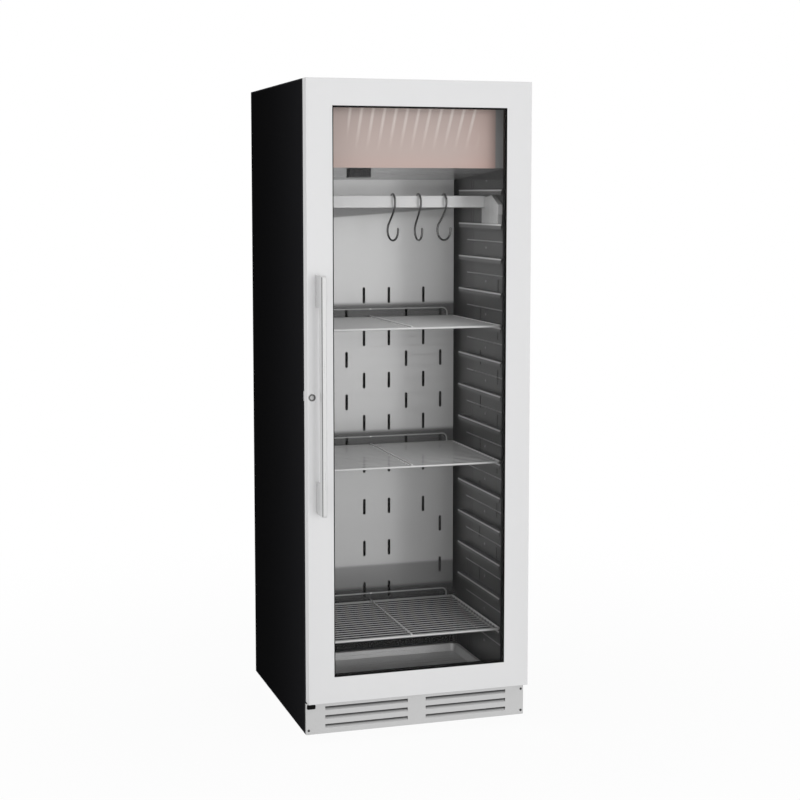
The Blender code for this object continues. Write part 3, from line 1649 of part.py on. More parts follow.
def make_compressor(looks):
    """The hermetic compressor: a drawn can with a weld band, on a footed plate."""
    x, y = compressor_x, bay_middle()
    radius, height, dome = compressor_radius, compressor_height, compressor_dome
    z0 = base_top + touch
    can = compressor_leg + compressor_plate / 2
    middle, band = can + height / 2, radius + compressor_band
    round_end = arc((radius - dome, 0), dome, 0, 60, compressor_dome_steps)
    profile = [(0, can)]
    profile += [(r, can + dome - rise) for r, rise in round_end[::-1]]
    profile += [(radius, middle), (band, middle), (band, middle + compressor_band_height),
                (radius, middle + compressor_band_height)]
    profile += [(r, can + height - dome + rise) for r, rise in round_end]
    profile += [(round_end[-1][0] - dome / 2, can + height), (0, can + height)]
    profile[1:1] = [(round_end[-1][0] - dome / 2, can)]
    shape = bmesh.new()
    add_turned(shape, profile, (x, y, z0), "Z", compressor_steps)
    compressor = finished("compressor", shape, looks["black_paint"], turned_smooth_deg)
    reach = radius + compressor_plate_margin
    foot = bmesh.new()
    add_box(foot, (x - reach, y - reach, z0 + compressor_leg),
            (x + reach, y + reach, z0 + compressor_leg + compressor_plate))
    weld(compressor, "compressor_plate", foot)
    pads = bmesh.new()
    inset = reach - compressor_pad_radius
    for sx in (-1, 1):
        for sy in (-1, 1):
            add_rod(pads, (x + sx * inset, y + sy * inset, z0),
                    (x + sx * inset, y + sy * inset, z0 + compressor_leg + compressor_plate / 2),
                    compressor_pad_radius, pin_steps)
    weld(compressor, "compressor_pads", pads)
    relay = bmesh.new()
    low = z0 + middle - compressor_relay_height / 2
    add_box(relay, (x + radius - compressor_relay_width, y - compressor_relay_depth / 2, low),
            (x + radius + compressor_relay_width, y + compressor_relay_depth / 2,
             low + compressor_relay_height))
    return weld(compressor, "compressor_relay", relay)


def condenser_box():
    """The outer edges of the condenser's fin pack."""
    x0 = condenser_x - condenser_width / 2
    y0 = bay_middle() - condenser_depth / 2
    z0 = base_top + touch
    return (x0, y0, z0), (x0 + condenser_width, y0 + condenser_depth, z0 + condenser_height)


def make_condenser(looks):
    """The finned condenser that stands in the bay beside its fan."""
    low, high = condenser_box()
    shape = bmesh.new()
    add_fin_pack(shape, (low[1], low[0], low[2]), (high[1], high[0], high[2]), condenser_fins, "Z")
    for vert in shape.verts:
        vert.co.x, vert.co.y = vert.co.y, vert.co.x
    return finished("condenser", shape, looks["black_paint"])


def cooling_fan_centre():
    """The middle of the condenser fan, on its axis along X."""
    low, high = condenser_box()
    x = high[0] + cooling_fan_gap + cooling_fan_sheet + fan_strut_depth + fan_hub_length / 2
    return x, bay_middle(), low[2] + condenser_height / 2


def make_cooling_fan_frame(looks):
    """The plate with a round opening that carries the condenser fan and its motor."""
    low, high = condenser_box()
    x0 = high[0] + touch
    x1 = x0 + cooling_fan_sheet
    _, y, z = cooling_fan_centre()
    shape = bmesh.new()
    add_box(shape, (x0, low[1], low[2]), (x1, high[1], high[2]))
    frame = finished("condenser_fan_frame", shape, looks["zinc"])
    hole = bmesh.new()
    add_rod(hole, (x0 - overrun, y, z), (x1 + overrun, y, z), cooling_fan_radius + fan_ring, fan_steps)
    cut(frame, "condenser_fan_opening", hole)
    reach = cooling_fan_radius + fan_ring + fan_strut / 2
    cross = bmesh.new()
    add_prism(cross, cross_outline(y, z, reach, fan_strut), "X", x0 + cooling_fan_sheet / 2,
              x0 + fan_strut_depth)
    weld(frame, "condenser_fan_cross", cross)
    boss = bmesh.new()
    hub_face = cooling_fan_centre()[0] - fan_hub_length / 2
    add_rod(boss, (x0 + cooling_fan_sheet, y, z), (hub_face - touch, y, z), cooling_boss_radius, pin_steps)
    return weld(frame, "condenser_fan_boss", boss)


def make_condensate_tray(looks):
    """The shallow tray over the compressor, where the condensate evaporates."""
    x0 = drain_place()[0] - condensate_width / 2
    x1 = x0 + condensate_width
    y0 = bay_middle() - condensate_depth / 2
    y1 = y0 + condensate_depth
    z0 = compressor_top() + touch
    z1 = z0 + condensate_height

    def loop(inset, z):
        outline = rounded_rectangle((x0 + inset, y0 + inset), (x1 - inset, y1 - inset),
                                    condensate_corner, corner_steps)
        return [(x, y, z) for x, y in outline]

    shape = bmesh.new()
    wall = condensate_wall
    add_loops(shape, [loop(wall, z0), loop(0, z1), loop(wall, z1), loop(wall * 2, z0 + wall)])
    return finished("condensate_tray", shape, looks["black_plastic"])


def rounded_path(points, radius, steps):
    """A path through the points with its corners rounded."""
    path = [Vector(points[0])]
    for before, corner, after in zip(points, points[1:], points[2:]):
        before, corner, after = Vector(before), Vector(corner), Vector(after)
        start = corner + (before - corner).normalized() * radius
        end = corner + (after - corner).normalized() * radius
        for i in range(steps + 1):
            share = i / steps
            path.append(start.lerp(corner, share).lerp(corner.lerp(end, share), share))
    path.append(Vector(points[-1]))
    return path


def make_discharge_pipe(looks):
    """The copper pipe from the compressor along the bay and down into the condenser."""
    low, high = condenser_box()
    x0, x1 = compressor_x - compressor_radius - touch, condenser_x
    y = bay_middle()
    z0 = compressor_top() - compressor_height / 2 + pipe_lift
    z1 = high[2] + pipe_crest
    points = [(x0, y, z0), (x0 - pipe_reach, y, z0), (x0 - pipe_reach, y, z1), (x1, y, z1),
              (x1, y, high[2] + touch)]
    path = rounded_path(points, pipe_bend, pipe_bend_steps)
    return link("discharge_pipe", wire_mesh("discharge_pipe", path, pipe_radius, 2), looks["copper"])


def make_rear_grille(looks):
    """The slotted cover over the compressor bay, with a cut-out for the power inlet."""
    side = case_sheet + touch
    shape = bmesh.new()
    add_box(shape, (left + side, rear_plate_front, base),
            (right - side, rear_plate_front + rear_sheet, bay_roof - touch))
    grille = finished("rear_grille", shape, looks["zinc"])
    slots = bmesh.new()
    half = grille_slot_length / 2
    for column in range(grille_columns):
        x = (column - (grille_columns - 1) / 2) * grille_column_pitch - grille_shift
        for row in range(grille_rows):
            z = base + grille_first_rise + row * grille_slot_pitch
            outline = rounded_rectangle((x - half, z - grille_slot_height / 2),
                                        (x + half, z + grille_slot_height / 2),
                                        grille_slot_corner, rack_slot_steps)
            add_prism(slots, outline, "Y", rear_plate_front - overrun, back)
    cut(grille, "grille_slots", slots)
    low, high = inlet_box(touch)
    hole = bmesh.new()
    add_box(hole, (low[0], rear_plate_front - overrun, low[1]), (high[0], back, high[1]))
    return cut(grille, "grille_inlet_hole", hole)


def inlet_box(grow):
    """The edges of the power inlet's body across the grille, grown by a clearance."""
    x0, z0 = right - inlet_inset - inlet_width / 2, base + inlet_rise
    return (x0 - grow, z0 - grow), (x0 + inlet_width + grow, z0 + inlet_height + grow)


def make_power_inlet(looks):
    """The power inlet: a flanged housing with a deep recess and three blades in it."""
    (x0, z0), (x1, z1) = inlet_box(0)
    face = rear_plate_front + rear_sheet + touch
    rim, wall = inlet_flange, inlet_wall
    shape = bmesh.new()
    add_box(shape, (x0, face - inlet_depth, z0), (x1, face + inlet_flange_sheet / 2, z1))
    inlet = finished("power_inlet", shape, looks["black_plastic"])
    flange = bmesh.new()
    outline = rounded_rectangle((x0 - rim, z0 - rim), (x1 + rim, z1 + rim), rim, inlet_corner_steps)
    add_prism(flange, outline, "Y", face, face + inlet_flange_sheet)
    weld(inlet, "inlet_flange", flange)
    recess = bmesh.new()
    outline = [(x0 + wall, z0 + wall), (x1 - wall, z0 + wall), (x1 - wall, z1 - 2 * wall),
               (x1 - 2 * wall, z1 - wall), (x0 + 2 * wall, z1 - wall), (x0 + wall, z1 - 2 * wall)]
    add_prism(recess, outline, "Y", face - inlet_recess, face + overrun)
    cut(inlet, "inlet_recess", recess)
    blades = bmesh.new()
    x, z = (x0 + x1) / 2, (z0 + z1) / 2
    for along, up in inlet_pins_share:
        bx, bz = x + along * inlet_pin_spread, z + up * inlet_pin_height
        add_box(blades, (bx - inlet_pin_width / 2, face - inlet_recess - wall / 2, bz - inlet_pin_height / 2),
                (bx + inlet_pin_width / 2, face - wall, bz + inlet_pin_height / 2))
    return weld(inlet, "inlet_blades", blades)


# Assembly

def build():
    """Empty the scene and make every piece of the cabinet."""
    for old in list(bpy.data.objects):
        bpy.data.objects.remove(old)
    looks = make_finishes()
    for make in (make_outer_case, make_rear_panel, make_base_pan, make_foam, make_liner,
                 make_duct_panel, make_housing_pan, make_housing_cover, make_led_bar, make_filter,
                 make_fan_bulkhead, make_fan_motor, make_evaporator, make_trough, make_drain_pipe,
                 make_bar, make_tray, make_kick_plate, make_cap, make_keeper, make_compressor,
                 make_condenser, make_cooling_fan_frame, make_condensate_tray,
                 make_discharge_pipe, make_rear_grille, make_power_inlet):
        make(looks)
    make_rotor("circulation_fan", circulation_fan_centre(), "Y", fan_radius, fan_hub_radius,
               fan_hub_length, fan_blade_depth, looks)
    make_rotor("condenser_fan", cooling_fan_centre(), "X", cooling_fan_radius, cooling_hub_radius,
               fan_hub_length, fan_blade_depth, looks)
    for name, side in (("rack_left", -1), ("rack_right", 1)):
        make_rack(name, side, looks)
    for name, side in (("bar_bracket_left", -1), ("bar_bracket_right", 1)):
        make_bracket(name, side, looks)
    for name, level in shelf_ledges.items():
        make_shelf(name, level, looks)
    for name in hook_places:
        make_hook(name, looks)
    for name in screw_places():
        make_kick_screw(name, looks)
    for name in foot_places():
        make_foot(name, looks)
    for name, side in (("hinge_lower", -1), ("hinge_upper", 1)):
        make_hinge(name, side, looks)
    door_pieces = [make_door_frame(looks), make_door_core(looks), make_gasket(looks),
                   make_handle(looks), make_bush("hinge_bush_lower", -1, looks),
                   make_bush("hinge_bush_upper", 1, looks)]
    door_pieces += make_glass(looks)
    door_pieces += make_lock(looks)
    door_axis = axis_empty("door_axis", (right - pin_inset, front + pin_setback, door_bottom))
    carry(door_axis, *door_pieces)


build()
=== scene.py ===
"""Finished surfaces, fine pieces, studio and camera for a dry aging cabinet with a glazed door.

Run as a script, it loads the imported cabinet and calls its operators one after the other.
"""

import math

import bmesh
import bpy
from bpy.props import FloatProperty, FloatVectorProperty, IntProperty, PointerProperty
from mathutils import Matrix, Vector


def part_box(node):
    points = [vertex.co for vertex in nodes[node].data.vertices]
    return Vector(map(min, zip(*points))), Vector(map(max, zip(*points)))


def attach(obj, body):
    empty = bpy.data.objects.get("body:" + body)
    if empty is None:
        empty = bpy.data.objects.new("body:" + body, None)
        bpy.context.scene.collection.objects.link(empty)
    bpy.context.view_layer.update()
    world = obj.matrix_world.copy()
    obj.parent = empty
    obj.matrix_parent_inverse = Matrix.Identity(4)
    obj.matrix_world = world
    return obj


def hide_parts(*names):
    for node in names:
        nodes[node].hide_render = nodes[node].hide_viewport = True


bl_info = {
    "name": "Dry Aging Cabinet",
    "version": (1, 0, 0),
    "blender": (4, 5, 0),
    "location": "View3D > Sidebar > Cabinet",
    "description": "Finishes a dry aging cabinet with a glazed door and sets it in a studio",
    "category": "Object",
}

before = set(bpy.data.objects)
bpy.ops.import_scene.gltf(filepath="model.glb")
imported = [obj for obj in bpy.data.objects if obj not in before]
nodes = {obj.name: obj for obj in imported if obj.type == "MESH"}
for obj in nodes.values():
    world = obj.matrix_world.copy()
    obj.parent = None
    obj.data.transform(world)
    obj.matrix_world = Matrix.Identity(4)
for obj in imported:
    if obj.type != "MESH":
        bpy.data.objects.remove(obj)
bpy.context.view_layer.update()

shelves = ("shelf_bottom", "shelf_middle", "shelf_top")

# Hooks: the place of each along the bar, and the twist of its belly in degrees
hooks = {"meat_hook_1": (-0.014, 14.5), "meat_hook_2": (0.057, 3.5), "meat_hook_3": (0.128, 22.5)}
hook_pivot_y = -0.086
hook_pivot_z = 1.3771
hook_radius = 0.0027
hook_loop = 0.0225
hook_belly = 0.0265
hook_drop = 0.073

# Shelves: the radii of their rods, their bends, and how high the thin wires lie
frame_radius = 0.003
wire_radius = 0.0015
middle_radius = 0.0024
stop_radius = 0.002
stop_bend = 0.014
stop_inset = 0.022
shelf_corner = 0.0085
wire_lift = 0.0007

# Slots of the rear duct panel, in staggered half rows
slot_half_rows = 15
slot_half_pitch = 0.06
slot_first_z = 0.277
slot_centre_x = 0.021
slot_first_offset = 0.0365
slot_column_pitch = 0.051
slot_radius = 0.0038
slot_reach = 0.0187
sheet_ease = 0.0002

# Edges that are sharper than this are eased and shaded as edges
sharp_degrees = 30.0

# Brush lines per metre across the brush, the height of fine relief, and the lamp bar's diodes
brush_density = 900.0
relief = 0.0002
diode_pitch = 0.0307

# The camera of the photograph
camera_place = (-1.2870, -4.2451, 1.3996)
camera_down_degrees = 5.547
camera_right_degrees = 17.2745
camera_lens = 74.143
camera_shift = -0.0575


# Node trees

class Value:
    """A socket whose arithmetic adds Math nodes to its tree."""

    def __init__(self, owner, socket):
        self.owner = owner
        self.socket = socket

    def maths(self, operation, *terms):
        """One Math node on these terms."""
        return self.owner.add("ShaderNodeMath", {"operation": operation}, dict(enumerate(terms)))

    def __add__(self, other):
        return self.maths("ADD", self, other)

    def __sub__(self, other):
        return self.maths("SUBTRACT", self, other)

    def __rsub__(self, other):
        return self.maths("SUBTRACT", other, self)

    def __mul__(self, other):
        return self.maths("MULTIPLY", self, other)

    def __truediv__(self, other):
        return self.maths("DIVIDE", self, other)

    def __pow__(self, other):
        return self.maths("POWER", self, other)

    def __neg__(self):
        return self.maths("MULTIPLY", self, -1.0)

    __radd__ = __add__
    __rmul__ = __mul__

    def size(self):
        """Its absolute value."""
        return self.maths("ABSOLUTE", self)

    def wrapped(self, pitch):
        """What is left of it within each pitch."""
        return self.maths("FLOORED_MODULO", self, pitch)

    def step(self, low, high):
        """0 below low and 1 above high, with a smooth rise between them."""
        return self.owner.add("ShaderNodeMapRange", {"interpolation_type": "SMOOTHSTEP"},
                              {"Value": self, "From Min": low, "From Max": high})


class Nodes:
    """Adds nodes to a tree, settings first, and hands their sockets on as values."""

    def __init__(self, tree):
        self.tree = tree

    def feed(self, socket, value):
        """Link a socket to a value, or give it a constant."""
        if isinstance(value, Value):
            self.tree.links.new(value.socket, socket)
        else:
            socket.default_value = value

    def add(self, kind, settings=None, inputs=None, output=0):
        """A node of that kind, and one of its outputs."""
        made = self.tree.nodes.new(kind)
        for name, value in (settings or {}).items():
            if name == "stops":
                set_stops(made.color_ramp, value)
            else:
                setattr(made, name, value)
        for name, value in (inputs or {}).items():
            self.feed(made.inputs[name], value)
        return Value(self, made.outputs[output])


def set_stops(ramp, stops):
    """Give a colour ramp its stops, as (position, colour)."""
    while len(ramp.elements) > 1:
        ramp.elements.remove(ramp.elements[-1])
    for i, (position, colour) in enumerate(stops):
        element = ramp.elements[0] if i == 0 else ramp.elements.new(position)
        element.position = position
        element.color = (*colour, 1.0)


class Look(Nodes):
    """A material built from object coordinates, ending in one Principled shader."""

    def __init__(self, name):
        self.material = bpy.data.materials.new(name)
        self.material.use_nodes = True
        super().__init__(self.material.node_tree)
        self.tree.nodes.clear()
        self.output = self.tree.nodes.new("ShaderNodeOutputMaterial")
        self.place = self.add("ShaderNodeTexCoord", output="Object")

    def axes(self):
        """The x, y and z of the point that is shaded."""
        made = self.add("ShaderNodeSeparateXYZ", inputs={0: self.place})
        return [Value(self, socket) for socket in made.socket.node.outputs]

    def noise(self, scale, detail=2.0, roughness=0.5, stretch=(1, 1, 1)):
        """Soft noise, drawn out along the axes whose stretch is small."""
        at = self.add("ShaderNodeMapping", inputs={"Vector": self.place, "Scale": stretch})
        return self.add("ShaderNodeTexNoise", {"noise_dimensions": "3D"},
                        {"Vector": at, "Scale": scale, "Detail": detail, "Roughness": roughness})

    def brush(self, along):
        """The fine lines that a brush leaves along one axis."""
        stretch = [brush_density] * 3
        stretch["XYZ".index(along)] = brush_density / 100
        return self.noise(1.0, 3.0, 0.6, stretch)

    def mix(self, share, first, second):
        """A colour between two colours."""
        made = self.add("ShaderNodeMix", {"data_type": "RGBA"}, {"Factor": share})
        node = made.socket.node
        self.feed(node.inputs[6], first if isinstance(first, Value) else (*first, 1.0))
        self.feed(node.inputs[7], second if isinstance(second, Value) else (*second, 1.0))
        return Value(self, node.outputs[2])

    def bump(self, height, strength, distance):
        """A normal that follows a height."""
        return self.add("ShaderNodeBump", inputs={"Height": height, "Strength": strength,
                                                  "Distance": distance})

    def surface(self, **inputs):
        """The Principled shader with these inputs, on the surface."""
        names = {"colour": "Base Color", "roughness": "Roughness", "metallic": "Metallic",
                 "normal": "Normal", "ior": "IOR", "specular": "Specular IOR Level",
                 "glow": "Emission Color", "glow_strength": "Emission Strength"}
        inputs = {names[key]: value for key, value in inputs.items()}
        if not isinstance(inputs["Base Color"], Value):
            inputs["Base Color"] = (*inputs["Base Color"], 1.0)
        return self.finish(self.add("ShaderNodeBsdfPrincipled", inputs=inputs))

    def brushed(self, lines, colour, metallic, roughness, spread=0.16, depth=0.12, **more):
        """The shader of a brushed sheet, whose gloss and relief follow its lines."""
        return self.surface(colour=colour, metallic=metallic,
                            roughness=(lines - 0.5) * spread + roughness,
                            normal=self.bump(lines, depth, relief), **more)

    def finish(self, shader):
        """Send a shader to the surface."""
        self.feed(self.output.inputs["Surface"], shader)
        return self.material


class Tree(Nodes):
    """A Geometry Nodes tree with named inputs for its sizes."""

    kinds = {float: "NodeSocketFloat", int: "NodeSocketInt", tuple: "NodeSocketVector",
             bpy.types.Material: "NodeSocketMaterial"}

    def __init__(self, name, sizes):
        super().__init__(bpy.data.node_groups.new(name, "GeometryNodeTree"))
        face = self.tree.interface
        face.new_socket("Geometry", in_out="OUTPUT", socket_type="NodeSocketGeometry")
        face.new_socket("Geometry", in_out="INPUT", socket_type="NodeSocketGeometry")
        for label, kind in {**sizes, "Finish": bpy.types.Material}.items():
            face.new_socket(label, in_out="INPUT", socket_type=self.kinds[kind])
        self.start = self.tree.nodes.new("NodeGroupInput")
        self.end = self.tree.nodes.new("NodeGroupOutput")

    def __getitem__(self, label):
        return Value(self, self.start.outputs[label])

    def vector(self, x=0.0, y=0.0, z=0.0):
        """A vector from three numbers or values."""
        return self.add("ShaderNodeCombineXYZ", inputs={0: x, 1: y, 2: z})

    def join(self, *parts):
        """Several geometries as one."""
        made = self.tree.nodes.new("GeometryNodeJoinGeometry")
        for part in reversed(parts):
            self.tree.links.new(part.socket, made.inputs[0])
        return Value(self, made.outputs[0])

    def tube(self, curve, radius, sides=12):
        """A round wire along a curve, with closed ends."""
        ring = self.add("GeometryNodeCurvePrimitiveCircle",
                        inputs={"Resolution": sides, "Radius": radius})
        return self.add("GeometryNodeCurveToMesh",
                        inputs={"Curve": curve, "Profile Curve": ring, "Fill Caps": True})

    def line(self, start, end):
        """A straight curve between two points."""
        return self.add("GeometryNodeCurvePrimitiveLine", inputs={"Start": start, "End": end})

    def repeat(self, points, piece):
        """The piece at each of the points, realized."""
        many = self.add("GeometryNodeInstanceOnPoints",
                        inputs={"Points": points, "Instance": piece})
        return self.add("GeometryNodeRealizeInstances", inputs={"Geometry": many})

    def close(self, result):
        """End the tree: realize what it made and give it its finish."""
        real = self.add("GeometryNodeRealizeInstances", inputs={"Geometry": result})
        done = self.add("GeometryNodeSetMaterial",
                        inputs={"Geometry": real, "Material": self["Finish"]})
        self.tree.links.new(done.socket, self.end.inputs[0])
        return self

    def grow(self, name, finish, path, **sizes):
        """A plain mesh object of what the tree makes of a path with these sizes."""
        seed = bpy.data.meshes.new(name)
        seed.from_pydata([tuple(p) for p in path], [(i, i + 1) for i in range(len(path) - 1)], [])
        made = new_object(name, seed)
        modifier = made.modifiers.new("pattern", "NODES")
        modifier.node_group = self.tree
        given = {label.replace("_", " "): value for label, value in sizes.items()}
        given["Finish"] = finish
        for item in self.tree.interface.items_tree:
            if item.in_out == "INPUT" and item.name in given:
                modifier[item.identifier] = given[item.name]
        return settle(made)


# Pieces

def new_object(name, data):
    """An object with that data, in the scene."""
    made = bpy.data.objects.new(name, data)
    bpy.context.scene.collection.objects.link(made)
    return made


def plain_mesh(made):
    """The mesh that an object's modifiers or curves make."""
    bpy.context.view_layer.update()
    shape = made.evaluated_get(bpy.context.evaluated_depsgraph_get())
    return bpy.data.meshes.new_from_object(shape)


def settle(made):
    """Give an object the mesh that its modifiers make, and take them away."""
    mesh = plain_mesh(made)
    made.modifiers.clear()
    made.data = mesh
    return made


def dress(names, look):
    """Give CAD nodes their finish."""
    for name in names:
        node = nodes[name]
        if node.material_slots:
            for slot in node.material_slots:
                slot.link = "OBJECT"
                slot.material = look
        else:
            node.data.materials.append(look)


def smooth(made, degrees):
    """Shade a mesh smooth, with sharp edges past an angle."""
    made.data.shade_smooth()
    made.data.set_sharp_from_angle(angle=math.radians(degrees))


def place_piece(made, body, finish_slot, *replaced):
    """Let a finished piece ride on its body and stand for CAD nodes."""
    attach(made, body)
    if replaced:
        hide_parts(*replaced)


def wire(name, points, radius, sides, finish):
    """A smooth round wire along points, with domed ends."""
    path = [Vector(p) for p in points]
    shape = bmesh.new()
    rings = []
    normal = None
    dome = [(-math.cos(math.radians(a)), math.sin(math.radians(a))) for a in (25, 50, 75)]
    count = len(path)
    for i, point in enumerate(path):
        before, after = path[max(i - 1, 0)], path[min(i + 1, count - 1)]
        along = (after - before).normalized()
        if normal is None:
            normal = along.orthogonal().normalized()
        normal = (normal - along * normal.dot(along)).normalized()
        across = along.cross(normal)
        steps = [(0, 1)]
        if i == 0:
            steps = dome + steps
        if i == count - 1:
            steps = steps + [(-back, wide) for back, wide in reversed(dome)]
        for shift, wide in steps:
            ring = []
            for k in range(sides):
                turn = 2 * math.pi * k / sides
                ring.append(shape.verts.new(point + along * shift * radius
                                            + (normal * math.cos(turn) + across * math.sin(turn))
                                            * radius * wide))
            rings.append(ring)
    for first, second in zip(rings, rings[1:]):
        for k in range(sides):
            shape.faces.new((first[k - 1], first[k], second[k], second[k - 1]))
    shape.faces.new(rings[0])
    shape.faces.new(rings[-1])
    bmesh.ops.recalc_face_normals(shape, faces=shape.faces)
    mesh = bpy.data.meshes.new(name)
    shape.to_mesh(mesh)
    shape.free()
    mesh.materials.append(finish)
    made = new_object(name, mesh)
    smooth(made, 60)
    return made


def rounded(name, body, finish_slot, look, width):
    """A copy of a CAD node with its sharp edges eased, which stands for the node."""
    shape = bmesh.new()
    shape.from_mesh(nodes[name].data)
    shape.transform(nodes[name].matrix_world)
    bmesh.ops.remove_doubles(shape, verts=shape.verts, dist=0.00001)
    bmesh.ops.dissolve_limit(shape, angle_limit=math.radians(1.0), verts=shape.verts,
                             edges=shape.edges)
    mesh = bpy.data.meshes.new(name)
    shape.to_mesh(mesh)
    shape.free()
    mesh.materials.clear()
    mesh.materials.append(look)
    made = new_object(name + "_eased", mesh)
    smooth(made, sharp_degrees)
    bevel = made.modifiers.new("eased", "BEVEL")
    bevel.width = width
    bevel.segments = 2
    bevel.limit_method = "ANGLE"
    bevel.angle_limit = math.radians(sharp_degrees)
    bevel.use_clamp_overlap = True
    bevel.harden_normals = True
    place_piece(settle(made), body, finish_slot, name)


def bend(middle, ahead, radius, first_deg, last_deg):
    """Points on an arc that is drawn ahead and up."""
    steps = math.ceil(abs(last_deg - first_deg) / 7.0)
    turns = [math.radians(first_deg + (last_deg - first_deg) * i / steps) for i in range(steps + 1)]
    return [middle + ahead * radius * math.cos(turn) + Vector((0, 0, radius * math.sin(turn)))
            for turn in turns]


def hook_path(pivot, twist_deg, lean):
    """The centre line of an S hook: a bend over the bar, a slanting shank and a twisted belly."""
    turn = math.radians(twist_deg)
    forward = Vector((0, -1, 0))
    twisted = Vector((math.sin(turn), -math.cos(turn), 0))
    centre = pivot + forward * lean - Vector((0, 0, hook_drop))
    reach = math.asin((hook_loop + hook_belly) / math.hypot(lean, hook_drop))
    cross = math.degrees(math.atan2(lean, hook_drop) - reach)
    upper = bend(pivot, forward, hook_loop, 200, cross)
    lower = bend(centre, twisted, hook_belly, 180 + cross, 370)
    last, first = upper[-1], lower[0]
    length = (first - last).length
    leave = (upper[-1] - upper[-2]).normalized() * length
    arrive = (lower[1] - lower[0]).normalized() * length
    shank = []
    for i in range(1, 12):
        share = i / 12
        shank.append(last.lerp(first, share * share * (3 - 2 * share))
                     + leave * share * (1 - share) ** 2 - arrive * share ** 2 * (1 - share))
    return upper + shank + lower


def balance(points):
    """The mean y of a wire's weight."""
    pieces = [((a + b) / 2, (b - a).length) for a, b in zip(points, points[1:])]
    return sum(middle.y * length for middle, length in pieces) / sum(length for _, length in pieces)


def make_hook(name, finish):
    """One meat hook of round wire, hung in balance."""
    x, twist = hooks[name]
    pivot = Vector((x, hook_pivot_y, hook_pivot_z))
    lean, nudge = 0.0, 0.0025
    for _ in range(4):
        here = balance(hook_path(pivot, twist, lean)) - pivot.y
        there = balance(hook_path(pivot, twist, lean + nudge)) - pivot.y
        lean += nudge * here / (here - there)
    made = wire(name + "_wire", hook_path(pivot, twist, lean), hook_radius, 16, finish)
    place_piece(made, name, "chrome", name)


def shelf_tree():
    """A wire shelf: a bent frame rod, thin wires across, a middle rod and a stop along a path."""
    tree = Tree("wire_shelf", {"Width": float, "Depth": float, "Place": tuple, "Corner": float,
                               "Frame Radius": float, "Wire Radius": float, "Wires": int,
                               "Middle Radius": float, "Stop Radius": float})
    thick, thin = tree["Frame Radius"], tree["Wire Radius"]
    outline = tree.add("GeometryNodeCurvePrimitiveQuadrilateral", inputs={
        "Width": tree["Width"] - thick * 2, "Height": tree["Depth"] - thick * 2})
    outline = tree.add("GeometryNodeFilletCurve", {"mode": "POLY"},
                       {"Curve": outline, "Count": 7, "Radius": tree["Corner"]})
    frame_rod = tree.tube(outline, thick, 14)
    reach = tree["Width"] / 2 - thick
    cross = tree.tube(tree.line(tree.vector(-reach), tree.vector(reach)), thin, 10)
    pitch = (tree["Depth"] - thick * 2) / tree["Wires"]
    first = pitch / 2 - tree["Depth"] / 2 + thick
    places = tree.add("GeometryNodeMeshLine", inputs={
        "Count": tree["Wires"], "Start Location": tree.vector(0.0, first, wire_lift),
        "Offset": tree.vector(0.0, pitch, 0.0)})
    wires = tree.repeat(places, cross)
    half = tree["Depth"] / 2 - thick
    above = thin + tree["Middle Radius"]
    rod = tree.tube(tree.line(tree.vector(0.0, -half, above), tree.vector(0.0, half, above)),
                    tree["Middle Radius"], 14)
    stop = tree.add("GeometryNodeMeshToCurve", inputs={"Mesh": tree["Geometry"]})
    stop = tree.tube(stop, tree["Stop Radius"], 12)
    body = tree.add("GeometryNodeTransform", inputs={
        "Geometry": tree.join(frame_rod, wires, rod, stop), "Translation": tree["Place"]})
    return tree.close(tree.add("GeometryNodeSetShadeSmooth",
                               inputs={"Geometry": body, "Shade Smooth": True}))


def make_shelf(name, tree, wires, finish):
    """One shelf grown in its CAD node's place."""
    low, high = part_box(name)
    width, depth = high.x - low.x, high.y - low.y
    rear = depth / 2 - frame_radius
    half = width / 2 - stop_inset
    crest = high.z - low.z - frame_radius - stop_radius
    along = Vector((1, 0, 0))
    path = [Vector((-half, rear, 0))]
    path += bend(Vector((stop_bend - half, rear, crest - stop_bend)), along, stop_bend, 180, 90)
    path += bend(Vector((half - stop_bend, rear, crest - stop_bend)), along, stop_bend, 90, 0)
    path += [Vector((half, rear, 0))]
    made = tree.grow(name + "_wires", finish, path, Width=width, Depth=depth, Corner=shelf_corner,
                     Place=((low.x + high.x) / 2, (low.y + high.y) / 2, low.z + frame_radius),
                     Frame_Radius=frame_radius, Wire_Radius=wire_radius, Wires=wires,
                     Middle_Radius=middle_radius, Stop_Radius=stop_radius)
    smooth(made, 40)
    place_piece(made, name, "chrome", name)


def slot_places():
    """The staggered slots of the duct panel, as (x, z)."""
    places = []
    for half_row in range(slot_half_rows):
        row, between = divmod(half_row, 2)
        if between and row == 2:
            continue
        if between:
            columns = (3,) if row < 2 else (1, 3)
        else:
            columns = (0,) if row < 2 else (0, 2)
        z = slot_first_z + half_row * slot_half_pitch
        for column in columns:
            offset = slot_first_offset + column * slot_column_pitch
            places += [(slot_centre_x + side * offset, z) for side in (-1, 1)]
    return places


